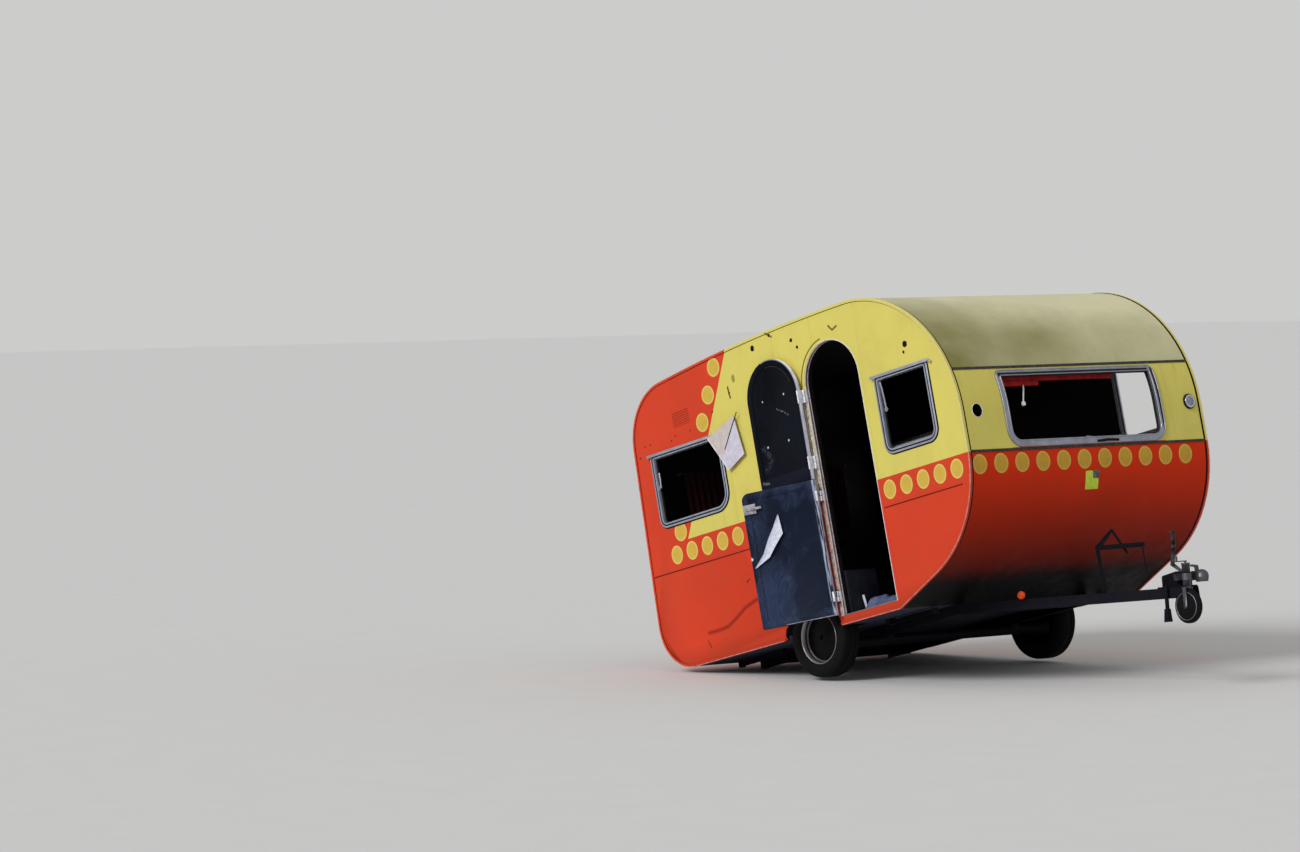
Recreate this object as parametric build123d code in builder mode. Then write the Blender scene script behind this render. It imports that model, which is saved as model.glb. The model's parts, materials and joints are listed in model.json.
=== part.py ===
"""A small touring caravan of the 1960s, stripped and parked on its wheels and its tail.

Every piece is modelled level, in the body's own frame: +X runs forward to the coupling, +Y to the
left side, +Z up, with the wheel axle above x = 0 and the lower edge of the side walls at z = 0.
At the end the whole caravan is tipped onto its wheels and rear steady feet. Millimetres.
"""
from build123d import *
from math import asin, atan, atan2, cos, degrees, hypot, radians, sin, sqrt
import os

# Cabin shell
body_width = 2000
wall = 28
front_reach = 1583
rear_reach = 1419
roof_height = 1872
nose_start = 788
nose_slope = 22.2
roof_fall = 6
roof_bend = (front_reach - rear_reach) / 2 - 213
rear_lean = 1.8
nose_radius = 700
brow_radius = 850
roof_radius = 5.1632 * (front_reach + rear_reach)
tail_top_radius = 375
tail_low_radius = 285
tail_start = -1130
belt_height = 778
roof_seam_height = 1280

# Trims
trim_proud = 3
trim_lap = 14
trim_thick = 5
trim_return = 15
strip_height = 16
strip_thick = 3
waist_height = 610
waist_strip = 8
waist_front = 1490
waist_rear = -1385

# Windows
side_frame_width = 34
end_frame_width = 42
frame_lap = 12
frame_proud = 8
end_window_side = 340
end_window_half = body_width / 2 - end_window_side
end_window_low = belt_height + 12
end_window_high = roof_seam_height - 18
end_window_low_radius = 105
end_window_high_radius = 45
drip_rail_height = 14
drip_rail_depth = 14
pane_thick = 4

# Door
door_rear = 288
door_width = 488
door_low = 50
door_over = 188
door_arch_centre = roof_height - door_over - door_width / 2
door_split = 885
door_gap = 5
leaf_thick = 23
leaf_corner = 45
leaf_recess = 4
leaf_border = 42
stop_inset = 8
stop_cover = 15
stop_depth = 26
jamb_trim_width = 20
jamb_trim_thick = 2
jamb_trim_gap = 2
hinge_back = 5
hinge_out = 15
hinge_x = door_rear - hinge_back
hinge_y = -body_width / 2 - hinge_out
hinge_heights_upper = (door_split + 105, door_arch_centre - 46)
hinge_heights_lower = (door_low + 120, door_split - 100)
barrel_radius = 6
barrel_length = 26
barrel_gap = 0.6
hinge_pin_radius = 2.6
pin_clearance = 0.3
hinge_plate = 3
hinge_plate_width = 36
strap_clear = 7
strap_thick = 5
strap_reach = 90
upper_open = 181.5
lower_open = 150
lock_height = 785
lock_inset = 44
lock_width = 78
lock_tall = 60
lock_depth = 12
handle_length = 96
handle_high = 15
handle_thick = 8
handle_offset = 28
handle_stand_off = 22

# Wheels and axle
axle_height = -34
wheel_inset = 88
wheel_centre_y = body_width / 2 - wheel_inset
tyre_radius = 240
tyre_width = 145
rim_radius = 156
rim_depth = 112
rim_gauge = 5
seat_clearance = 0.3
arch_radius = 262
tub_thick = 8
tub_depth = 200
hub_radius = 42
hub_out = 32
disc_out = 12
disc_in = 2
stub_radius = 14
axle_beam_x = 110
axle_beam_radius = 30
arm_thick = 28
arm_inner_y = wheel_centre_y - 112
arm_end_radius = 34
arm_beam_radius = 40
axle_pad_length = 90
drum_radius = 92
drum_clearance = 6

# Chassis and drawbar
rail_y = 525
rail_width = 30
rail_depth = 63
rail_gauge = 4
rail_rear = -1050
draw_tip_x = 2185
draw_tip_y = 50
draw_drop = 190
cross_member_places = (-900, -330, 700)
cross_member_width = 40
cross_member_inset = 8

# Coupling, in its own frame on top of the drawbar's tip
coupling_axis = 55
coupling_ball_x = 98
coupling_head_radius = 41
coupling_skirt_radius = 35
coupling_mouth = 9
ball_radius = 25.4
shaft_radius = 22
housing_length = 170
housing_half = 38
housing_height = 94

# Jockey wheel, in the coupling's frame
jockey_x = 85
jockey_y = -115
jockey_tube_radius = 24
jockey_tube_bore = 19.5
jockey_inner_radius = 19
jockey_tube_low = 3
jockey_tube_top = 130
jockey_wheel_radius = 100
jockey_wheel_width = 40
jockey_wheel_drop = 113
jockey_pin = 6

# Corner steadies
steady_y = body_width / 2 - 300
steady_pivot_x = 640
steady_pivot_front = 360
steady_pivot_z = -24
steady_length = 403
steady_half = 14
steady_height = 26
steady_gap = 5
steady_cheek = 5
steady_pin = 6
steady_pad = 5
steady_pad_low = -45
steady_pad_high = -6
steady_pad_half = 26

# Inside
board = 16
bench_height = 390
bench_rear_x = -760
bench_front_x = 1090
locker_half = 310
locker_height = 320
locker_depth = 272
fit = 0.3

# Lamps: heights, distances from the sides and the empty hole left by the missing one
lamp_height = 1020
lamp_side = 100
lamp_radius = 45
lamp_proud = 16
lamp_hole_side = 129
lamp_hole_radius = 40
tail_lamp_height = 560
tail_lamp_side = 160

half_width = body_width / 2
inner_half = half_width - wall
door_front = door_rear + door_width
door_centre = (door_rear + door_front) / 2
door_radius = door_width / 2
locker_inner_y = inner_half - locker_depth
reach = front_reach + rear_reach

pieces = {}


def side_plane(y):
    """A sketch plane whose x runs forward and whose y runs up, at the given distance to the left."""
    return Plane.XZ.offset(-y)


def body_sides(inset):
    """The straight sides of the side view: outward normal (x, z) and distance from the origin."""
    slope, fall, lean = radians(nose_slope), radians(roof_fall), radians(rear_lean)
    bend_distance = -roof_bend * sin(fall) + roof_height * cos(fall)
    return [
        (0, -1, 0 - inset),
        (sin(slope), -cos(slope), nose_start * sin(slope) - inset),
        (1, 0, front_reach - inset),
        (0, 1, roof_height - inset),
        (-sin(fall), cos(fall), bend_distance - inset),
        (-cos(lean), sin(lean), rear_reach * cos(lean) - inset),
    ]


def body_outline(inset=0.0, mode=Mode.ADD):
    """The cabin's side view, moved inwards by the inset."""
    sides = body_sides(inset)
    radii = [0, nose_radius, brow_radius, roof_radius, tail_top_radius, tail_low_radius]
    corners = []
    for first, second in zip(sides, sides[1:] + sides[:1]):
        cross = first[0] * second[1] - first[1] * second[0]
        x = (first[2] * second[1] - second[2] * first[1]) / cross
        z = (first[0] * second[2] - second[0] * first[2]) / cross
        corners.append((x, z))
    with BuildLine() as loop:
        FilletPolyline(*corners, radius=[max(r - inset, 0) for r in radii], close=True)
    make_face(loop.line, mode=mode)


def region(x_low, x_high, z_low, z_high, mode=Mode.INTERSECT):
    """A plain rectangle between two places along and two heights."""
    with Locations(((x_low + x_high) / 2, (z_low + z_high) / 2)):
        Rectangle(x_high - x_low, z_high - z_low, mode=mode)


def shell_band(x_low, x_high, z_low, z_high, outer=0.0, inner=wall, half=inner_half):
    """A stretch of the cabin's bent skin, from outside to inside, across the whole width."""
    with BuildSketch(side_plane(0)) as section:
        body_outline(-outer)
        body_outline(inner, mode=Mode.SUBTRACT)
        region(x_low, x_high, z_low, z_high)
    extrude(section.sketch, amount=half, both=True)


def window_outline(box, radii, inset=0.0, mode=Mode.ADD):
    """A window with four corner radii: low first, low second, high second, high first."""
    low_u, high_u, low_v, high_v = box
    corners = [
        (low_u + inset, low_v + inset),
        (high_u - inset, low_v + inset),
        (high_u - inset, high_v - inset),
        (low_u + inset, high_v - inset),
    ]
    with BuildLine() as loop:
        FilletPolyline(*corners, radius=[max(r - inset, 10) for r in radii], close=True)
    make_face(loop.line, mode=mode)


def door_outline(low, inset=0.0, mode=Mode.ADD):
    """The arched doorway from a given height up, moved inwards by the inset."""
    rear, front = door_rear + inset, door_front - inset
    with BuildLine() as loop:
        Polyline((rear, door_arch_centre), (rear, low), (front, low), (front, door_arch_centre))
        ThreePointArc(
            (front, door_arch_centre),
            (door_centre, door_arch_centre + door_radius - inset),
            (rear, door_arch_centre),
        )
    make_face(loop.line, mode=mode)


def leaf_outline(low, high, corners, inset=0.0, mode=Mode.ADD):
    """A square-topped door leaf, with a radius for each top corner: front, rear."""
    rear, front = door_rear + door_gap + inset, door_front - door_gap - inset
    points = [(rear, low + inset), (front, low + inset), (front, high - inset), (rear, high - inset)]
    radii = [10, 10, max(corners[0] - inset, 4), max(corners[1] - inset, 4)]
    with BuildLine() as loop:
        FilletPolyline(*points, radius=radii, close=True)
    make_face(loop.line, mode=mode)


def keep(label, builder, place=Location()):
    """Name a finished piece and hold it until the caravan is tipped and written."""
    pieces[label] = builder.part.moved(place)


# Windows in the sides: x low, x high, z low, z high, then the radius of each corner, going round
# from the low rear one
side_windows = {
    "front": (
        (door_front + 120, front_reach - 215, belt_height + 122, roof_seam_height + 98),
        (70, 80, 35, 35),
    ),
    "rear": (
        (187 - rear_reach, 867 - rear_reach, belt_height + 105, roof_seam_height + 72),
        (60, 120, 45, 35),
    ),
}
end_window = (-end_window_half, end_window_half, end_window_low, end_window_high)
end_radii = (
    end_window_low_radius,
    end_window_low_radius,
    end_window_high_radius,
    end_window_high_radius,
)


# Bent panels: floor, nose, front, roof, back and tail
with BuildPart() as floor_panel:
    shell_band(tail_start, nose_start - wall / 4, -reach, wall)
    tub_chord = sqrt(arch_radius**2 - (wall - axle_height) ** 2)
    with BuildSketch(Plane.XY):
        for side in (-1, 1):
            with Locations((0, side * (inner_half - tub_depth / 2))):
                Rectangle(2 * tub_chord, tub_depth)
    extrude(amount=wall, mode=Mode.SUBTRACT)
keep("floor_panel", floor_panel)

with BuildPart() as front_lower_panel:
    shell_band(nose_start - wall / 4, reach, -reach, belt_height)
keep("front_lower_panel", front_lower_panel)

with BuildPart() as rear_lower_panel:
    shell_band(-reach, tail_start, -reach, belt_height)
keep("rear_lower_panel", rear_lower_panel)

with BuildPart() as roof_panel:
    shell_band(-reach, reach, roof_seam_height, reach)
keep("roof_panel", roof_panel)

# The two ends with their windows: name, x low, x high, extrusion towards that end
end_frames = []
for end, x_low, x_high, way in (("front", 0, reach, 1), ("rear", -reach, 0, -1)):
    with BuildPart() as window_panel:
        shell_band(x_low, x_high, belt_height, roof_seam_height)
        with BuildSketch(Plane.YZ):
            window_outline(end_window, end_radii, inset=frame_lap)
        extrude(amount=way * reach, mode=Mode.SUBTRACT)
        if end == "front":
            with BuildSketch(Plane.YZ):
                with Locations((lamp_hole_side - half_width, lamp_height)):
                    Circle(lamp_hole_radius)
            extrude(amount=reach, mode=Mode.SUBTRACT)
    keep(f"{end}_window_panel", window_panel)

    with BuildPart() as flange:
        shell_band(x_low, x_high, 0, reach, outer=frame_proud, inner=0)
        with BuildSketch(Plane.YZ):
            window_outline(end_window, end_radii)
            window_outline(end_window, end_radii, inset=end_frame_width, mode=Mode.SUBTRACT)
        extrude(amount=way * reach, mode=Mode.INTERSECT)
    with BuildPart() as sleeve:
        shell_band(x_low, x_high, 0, reach)
        with BuildSketch(Plane.YZ):
            window_outline(end_window, end_radii, inset=frame_lap)
            window_outline(end_window, end_radii, inset=end_frame_width, mode=Mode.SUBTRACT)
        extrude(amount=way * reach, mode=Mode.INTERSECT)
    end_frames += [flange.part, sleeve.part]

with BuildPart() as window_frames_end:
    for frame in end_frames:
        add(frame)
keep("window_frames_end", window_frames_end)

# Strips over the seams of both ends
with BuildPart() as seam_strips:
    for height in (belt_height, roof_seam_height):
        for x_low, x_high in ((0, reach), (-reach, 0)):
            low, high = height - strip_height / 2, height + strip_height / 2
            strip_half = half_width - trim_return - fit
            shell_band(x_low, x_high, low, high, strip_thick, 0, strip_half)
    with BuildSketch(Plane.YZ):
        window_outline(end_window, end_radii, inset=-fit)
    extrude(amount=reach, both=True, mode=Mode.SUBTRACT)
keep("seam_strips", seam_strips)

# Side walls and their window frames
sides = ((-1, "right"), (1, "left"))
for side, name in sides:
    outside = side_plane(side * half_width)
    with BuildPart() as side_wall:
        with BuildSketch(outside):
            body_outline()
            for box, radii in side_windows.values():
                window_outline(box, radii, inset=frame_lap, mode=Mode.SUBTRACT)
            if name == "right":
                door_outline(door_low, mode=Mode.SUBTRACT)
            with Locations((0, axle_height)):
                Circle(arch_radius, mode=Mode.SUBTRACT)
        extrude(amount=side * wall)
    keep(f"side_wall_{name}", side_wall)

    with BuildPart() as window_frames:
        for box, radii in side_windows.values():
            with BuildSketch(outside):
                window_outline(box, radii)
                window_outline(box, radii, inset=side_frame_width, mode=Mode.SUBTRACT)
            extrude(amount=-side * frame_proud)
            with BuildSketch(outside):
                window_outline(box, radii, inset=frame_lap)
                window_outline(box, radii, inset=side_frame_width, mode=Mode.SUBTRACT)
            extrude(amount=side * wall)
            with BuildSketch(outside):
                rail_low = box[3] - drip_rail_height
                region(box[0] + radii[3], box[1] - radii[2], rail_low, box[3], mode=Mode.ADD)
            extrude(amount=-side * (frame_proud + drip_rail_depth))
    keep(f"window_frames_{name}", window_frames)

# Angle trims along both edges of the cabin, open over the wheels
with BuildPart() as edge_trims:
    for side, name in sides:
        for inset, depth in ((trim_lap, -trim_thick), (0, trim_return)):
            with BuildSketch(side_plane(side * half_width)):
                body_outline(-trim_proud)
                body_outline(inset, mode=Mode.SUBTRACT)
                with Locations((0, axle_height)):
                    Circle(arch_radius, mode=Mode.SUBTRACT)
            extrude(amount=side * depth)
keep("edge_trims", edge_trims)

# Raised strips along both sides, cut out for the door and its trim
with BuildPart() as waist_strips:
    for side, name in sides:
        with BuildSketch(side_plane(side * half_width)):
            low, high = waist_height - waist_strip / 2, waist_height + waist_strip / 2
            region(waist_rear, waist_front, low, high, mode=Mode.ADD)
            if name == "right":
                rim = jamb_trim_gap + jamb_trim_width + fit
                region(door_rear - rim, door_front + rim, low, high, mode=Mode.SUBTRACT)
        extrude(amount=-side * strip_thick)
keep("waist_strips", waist_strips)

# Door stop inside the wall, trim outside it and the fixed halves of the hinges
with BuildPart() as door_frame:
    with BuildSketch(side_plane(-inner_half)):
        door_outline(door_low - stop_cover, inset=-stop_cover)
        door_outline(door_low + stop_inset, inset=stop_inset, mode=Mode.SUBTRACT)
    extrude(amount=-stop_depth)
keep("door_frame", door_frame)

with BuildPart() as door_trim:
    with BuildSketch(side_plane(-half_width)):
        door_outline(door_low, inset=-jamb_trim_gap - jamb_trim_width)
        door_outline(door_low, inset=-jamb_trim_gap, mode=Mode.SUBTRACT)
    extrude(amount=jamb_trim_thick)
    for height in hinge_heights_upper + hinge_heights_lower:
        with BuildSketch(Plane.XY.offset(height - barrel_length)):
            with Locations((hinge_x, hinge_y)):
                Circle(barrel_radius)
            with Locations((hinge_x, hinge_y + hinge_out / 2)):
                Rectangle(hinge_plate, hinge_out)
            with Locations((hinge_x - hinge_plate_width / 2, -half_width - hinge_plate / 2)):
                Rectangle(hinge_plate_width + hinge_plate, hinge_plate)
        extrude(amount=barrel_length)
        with BuildSketch(Plane.XY.offset(height)):
            with Locations((hinge_x, hinge_y)):
                Circle(hinge_pin_radius)
        extrude(amount=barrel_gap + barrel_length)
keep("door_trim", door_trim)


def hinge_straps(heights):
    """The leaf's half of each hinge: a barrel on the pin, a strap and its pad, leaf closed."""
    strap_y = -half_width - strap_clear - strap_thick / 2
    pad_depth = strap_clear + strap_thick / 2
    pad_start, pad_end = door_rear + door_gap, hinge_x + strap_reach
    for height in heights:
        with BuildSketch(Plane.XY.offset(height + barrel_gap)) as strap:
            with Locations((hinge_x, hinge_y)):
                Circle(barrel_radius)
            with Locations((hinge_x + strap_reach / 2, strap_y)):
                Rectangle(strap_reach, strap_thick)
            with Locations(((pad_start + pad_end) / 2, -half_width - pad_depth / 2)):
                Rectangle(pad_end - pad_start, pad_depth)
            with Locations((hinge_x, hinge_y)):
                Circle(hinge_pin_radius + pin_clearance, mode=Mode.SUBTRACT)
        extrude(strap.sketch, amount=barrel_length)


hinge_axis = Axis((hinge_x, hinge_y, 0), (0, 0, 1))
leaf_plane = side_plane(-half_width)
leaf_inner = side_plane(-half_width + leaf_thick - leaf_recess)

with BuildPart() as door_upper:
    with BuildSketch(leaf_plane):
        door_outline(door_split + door_gap, inset=door_gap)
    extrude(amount=-leaf_thick)
    with BuildSketch(leaf_inner):
        door_outline(door_split + door_gap + leaf_border, inset=door_gap + leaf_border)
    extrude(amount=-leaf_recess, mode=Mode.SUBTRACT)
    hinge_straps(hinge_heights_upper)
pieces["door_upper"] = door_upper.part.rotate(hinge_axis, -upper_open)

with BuildPart() as door_lower:
    with BuildSketch(leaf_plane):
        leaf_outline(door_low + door_gap, door_split, (leaf_corner, 12))
    extrude(amount=-leaf_thick)
    with BuildSketch(leaf_inner):
        leaf_outline(door_low + door_gap, door_split, (leaf_corner, 12), inset=leaf_border)
    extrude(amount=-leaf_recess, mode=Mode.SUBTRACT)
    hinge_straps(hinge_heights_lower)
pieces["door_lower"] = door_lower.part.rotate(hinge_axis, -lower_open)

# Lock case on the inner face of the lower leaf, with a lever inside and a handle outside
lock_x = door_front - door_gap - lock_inset
with BuildPart() as door_lock:
    with BuildSketch(side_plane(-half_width + leaf_thick)):
        with Locations((lock_x, lock_height)):
            Rectangle(lock_width, lock_tall)
    extrude(amount=-lock_depth)
    with BuildSketch(side_plane(-half_width + leaf_thick + lock_depth)):
        with Locations((lock_x - handle_offset, lock_height)):
            Rectangle(handle_length, handle_high)
    extrude(amount=-handle_thick)
    with BuildSketch(leaf_plane):
        with Locations((lock_x, lock_height)):
            Circle(16)
    extrude(amount=handle_stand_off)
    with BuildSketch(side_plane(-half_width - handle_stand_off)):
        with Locations((lock_x - handle_offset, lock_height)):
            Rectangle(handle_length, handle_high)
    extrude(amount=12)
pieces["door_lock"] = door_lock.part.rotate(hinge_axis, -lower_open)

# Wheel tubs and the lockers over them, on both sides
with BuildPart() as wheel_tubs:
    for side, name in sides:
        with BuildSketch(side_plane(side * inner_half)):
            with Locations((0, axle_height)):
                Circle(arch_radius + tub_thick)
                Circle(arch_radius, mode=Mode.SUBTRACT)
            region(-reach, reach, wall, reach)
        extrude(amount=side * (tub_depth + tub_thick))
        with BuildSketch(side_plane(side * (inner_half - tub_depth))):
            with Locations((0, axle_height)):
                Circle(arch_radius + tub_thick / 2)
            region(-reach, reach, wall, reach)
        extrude(amount=side * tub_thick)
keep("wheel_tubs", wheel_tubs)

with BuildPart() as lockers:
    for side, name in sides:
        inside = side_plane(side * inner_half)
        with BuildSketch(inside):
            region(-locker_half, locker_half, wall, locker_height, mode=Mode.ADD)
        extrude(amount=side * locker_depth)
        with BuildSketch(inside):
            inner = locker_half - board
            region(-inner, inner, wall, locker_height - board, mode=Mode.ADD)
        extrude(amount=side * (locker_depth - board), mode=Mode.SUBTRACT)
    with BuildSketch(side_plane(-inner_half)):
        door_outline(door_low - stop_cover, inset=-stop_cover - fit)
    extrude(amount=-(stop_depth + fit), mode=Mode.SUBTRACT)
keep("lockers", lockers)

# Bench lockers across both ends, closed by the walls behind them: x low, x high, x of the hollow
with BuildPart() as benches:
    for x_low, x_high, hollow_low, hollow_high in (
        (-reach, bench_rear_x, -reach, bench_rear_x - board),
        (bench_front_x, reach, bench_front_x + board, reach),
    ):
        with BuildSketch(side_plane(0)) as bench:
            region(x_low, x_high, wall, bench_height, mode=Mode.ADD)
            body_outline(wall + fit, mode=Mode.INTERSECT)
            region(hollow_low, hollow_high, -reach, bench_height - board, mode=Mode.SUBTRACT)
        extrude(bench.sketch, amount=inner_half, both=True)
keep("benches", benches)

# Wheels as half sections, outwards along the axle and radius: the tyre, then the rim with its
# dished disc, hub and brake drum
tyre_half = tyre_width / 2
rim_half = rim_depth / 2
bore = stub_radius + seat_clearance
drum_end = arm_inner_y + arm_thick + drum_clearance - wheel_centre_y
stub_end_y = wheel_centre_y + 24
tyre_outline = [
    (-tyre_half + 14, rim_radius + seat_clearance),
    (tyre_half - 14, rim_radius + seat_clearance),
    (tyre_half, rim_radius + 42),
    (tyre_half - 5, tyre_radius - 18),
    (tyre_half - 21, tyre_radius),
    (-tyre_half + 21, tyre_radius),
    (-tyre_half + 5, tyre_radius - 18),
    (-tyre_half, rim_radius + 42),
]
rim_outline = [
    (-rim_half, rim_radius),
    (rim_half, rim_radius),
    (rim_half, rim_radius - rim_gauge),
    (disc_out, rim_radius - 2 * rim_gauge),
    (hub_out, hub_radius),
    (hub_out, bore),
    (drum_end, bore),
    (drum_end, drum_radius),
    (disc_in, drum_radius),
    (disc_in, rim_radius - 2 * rim_gauge),
    (-rim_half, rim_radius - rim_gauge),
]
for side, name in sides:
    centre = (0, side * wheel_centre_y, axle_height)
    wheel_plane = Plane(origin=centre, x_dir=(0, side, 0), z_dir=(-1, 0, 0))
    for label, outline in (("tyre", tyre_outline), ("rim", rim_outline)):
        with BuildPart() as turned:
            with BuildSketch(wheel_plane):
                with BuildLine():
                    Polyline(*outline, close=True)
                make_face()
            revolve(axis=Axis(centre, (0, 1, 0)))
        keep(f"{label}_{name}", turned)

# Beam axle with a trailing arm and a stub at each end, hung under the chassis rails
with BuildPart() as axle_beam:
    beam_z = -rail_depth - axle_beam_radius
    arm_outer_y = arm_inner_y + arm_thick
    with BuildSketch(Plane.XZ):
        with Locations((axle_beam_x, beam_z)):
            Circle(axle_beam_radius)
    extrude(amount=arm_outer_y, both=True)
    for side in (-1, 1):
        with BuildSketch(side_plane(side * arm_outer_y)):
            for x, z, radius in ((0, axle_height, arm_end_radius), (axle_beam_x, beam_z, arm_beam_radius)):
                with Locations((x, z)):
                    Circle(radius)
            make_hull()
        extrude(amount=side * arm_thick)
        with BuildSketch(side_plane(side * arm_outer_y)):
            with Locations((0, axle_height)):
                Circle(stub_radius)
        extrude(amount=-side * (stub_end_y - arm_outer_y))
        with BuildSketch(Plane.XY.offset(-rail_depth)):
            with Locations((axle_beam_x, side * rail_y)):
                Rectangle(axle_pad_length, 2 * rail_width)
        extrude(amount=-axle_beam_radius)
keep("axle_beam", axle_beam)

# Chassis rails, bent inwards and down into the drawbar, as channels open to the inside
rail_out = rail_y + rail_width / 2
tip_out = draw_tip_y + rail_width / 2


def rail_plan(side, outer, inner):
    """Plan of a rail between two offsets from its outer face."""
    ends = ((rail_rear, rail_out), (nose_start, rail_out), (draw_tip_x, tip_out))
    outside = [(x, side * (y - outer)) for x, y in ends]
    inside = [(x, side * (y - inner)) for x, y in reversed(ends)]
    with BuildSketch(Plane.XY) as plan:
        with BuildLine() as loop:
            Polyline(*outside, *inside, close=True)
        make_face(loop.line)
    extrude(plan.sketch, amount=reach, both=True)


def rail_view(inset):
    """Side view of both rails, with their flanges taken off by the inset."""
    tops = ((rail_rear, 0), (nose_start, 0), (draw_tip_x, -draw_drop))
    above = [(x, z - inset) for x, z in tops]
    below = [(x, z - rail_depth + inset) for x, z in reversed(tops)]
    with BuildSketch(Plane.XZ) as view:
        with BuildLine() as loop:
            Polyline(*above, *below, close=True)
        make_face(loop.line)
    extrude(view.sketch, amount=reach, both=True, mode=Mode.INTERSECT)


with BuildPart() as channels:
    for side, name in sides:
        rail_plan(side, rail_gauge, rail_width + 1)
    rail_view(rail_gauge)
with BuildPart() as chassis_rails:
    for side, name in sides:
        rail_plan(side, 0, rail_width)
    rail_view(0)
    add(channels.part, mode=Mode.SUBTRACT)
keep("chassis_rails", chassis_rails)

with BuildPart() as cross_members:
    with BuildSketch(Plane.XZ):
        for x in cross_member_places:
            height = rail_depth - 2 * cross_member_inset
            with Locations((x, -rail_depth / 2)):
                Rectangle(cross_member_width, height)
                Rectangle(cross_member_width - 6, height - 6, mode=Mode.SUBTRACT)
    extrude(amount=rail_y + rail_width / 2 - rail_gauge, both=True)
keep("cross_members", cross_members)

# Corner steadies: a fixed bracket and a leg folded outwards under each corner
steady_corners = {
    "front_right": (steady_pivot_front, -steady_y, 1),
    "front_left": (steady_pivot_front, steady_y, 1),
    "rear_right": (-steady_pivot_x, -steady_y, -1),
    "rear_left": (-steady_pivot_x, steady_y, -1),
}
with BuildPart() as steady_brackets:
    for x, y, way in steady_corners.values():
        cheek_inner = steady_half + steady_gap
        cheek_outer = cheek_inner + steady_cheek
        with BuildSketch(Plane.XY):
            with Locations((x, y)):
                Rectangle(50, 2 * cheek_outer)
        extrude(amount=-4)
        for cheek in (-1, 1):
            low = steady_pivot_z - 12
            with BuildSketch(side_plane(y + cheek * cheek_outer)):
                with BuildLine():
                    Polyline((x - 20, 0), (x + 20, 0), (x + 9, low), (x - 9, low), close=True)
                make_face()
            extrude(amount=cheek * steady_cheek)
        with BuildSketch(side_plane(y)):
            with Locations((x, steady_pivot_z)):
                Circle(steady_pin)
        extrude(amount=cheek_outer, both=True)
keep("steady_brackets", steady_brackets)

for name, (x, y, way) in steady_corners.items():
    with BuildPart() as steady:
        with BuildSketch(side_plane(y)):
            with Locations((x, steady_pivot_z)):
                Circle(steady_height / 2)
            tip = x + way * (steady_length - steady_pad)
            low, high = steady_pivot_z - steady_height / 2, steady_pivot_z + steady_height / 2
            region(min(x, tip), max(x, tip), low, high, mode=Mode.ADD)
        extrude(amount=steady_half, both=True)
        channel_start = x + way * 30
        with BuildSketch(side_plane(y)):
            inner_low, inner_high = min(channel_start, tip), max(channel_start, tip)
            region(inner_low, inner_high, low - 1, high - 3, mode=Mode.ADD)
        extrude(amount=steady_half - 3, both=True, mode=Mode.SUBTRACT)
        with BuildSketch(side_plane(y)):
            end = x + way * steady_length
            region(min(tip, end), max(tip, end), steady_pad_low, steady_pad_high, mode=Mode.ADD)
        extrude(amount=steady_pad_half, both=True)
        with BuildSketch(side_plane(y)):
            with Locations((x, steady_pivot_z)):
                Circle(steady_pin + pin_clearance)
        extrude(amount=steady_half, both=True, mode=Mode.SUBTRACT)
    keep(f"steady_{name}", steady)

# The drawbar's tip: everything on it is laid out along the drawbar, from the tip of its top edge
draw_pitch = degrees(atan(draw_drop / (draw_tip_x - nose_start)))
hitch = Location((draw_tip_x, 0, -draw_drop), (0, draw_pitch, 0))
draw_splay = (rail_y - draw_tip_y) / (draw_tip_x - nose_start)

with BuildPart() as coupling_housing:
    with BuildSketch(Plane.XY):
        with Locations((-housing_length / 2 - 20, 0)):
            Rectangle(housing_length + 30, 2 * (draw_tip_y + 14))
    extrude(amount=8)
    with BuildSketch(Plane.XZ):
        with BuildLine():
            FilletPolyline(
                (-housing_length - 20, 8),
                (-20, 8),
                (-20, housing_height - 10),
                (-70, housing_height),
                (-housing_length - 20, housing_height - 22),
                radius=[0, 0, 12, 30, 12],
                close=True,
            )
        make_face()
    extrude(amount=housing_half, both=True)
    with BuildSketch(Plane.YZ.offset(-20)):
        with Locations((0, coupling_axis)):
            Circle(shaft_radius)
    extrude(amount=-housing_length, mode=Mode.SUBTRACT)
keep("coupling_housing", coupling_housing, hitch)

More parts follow.
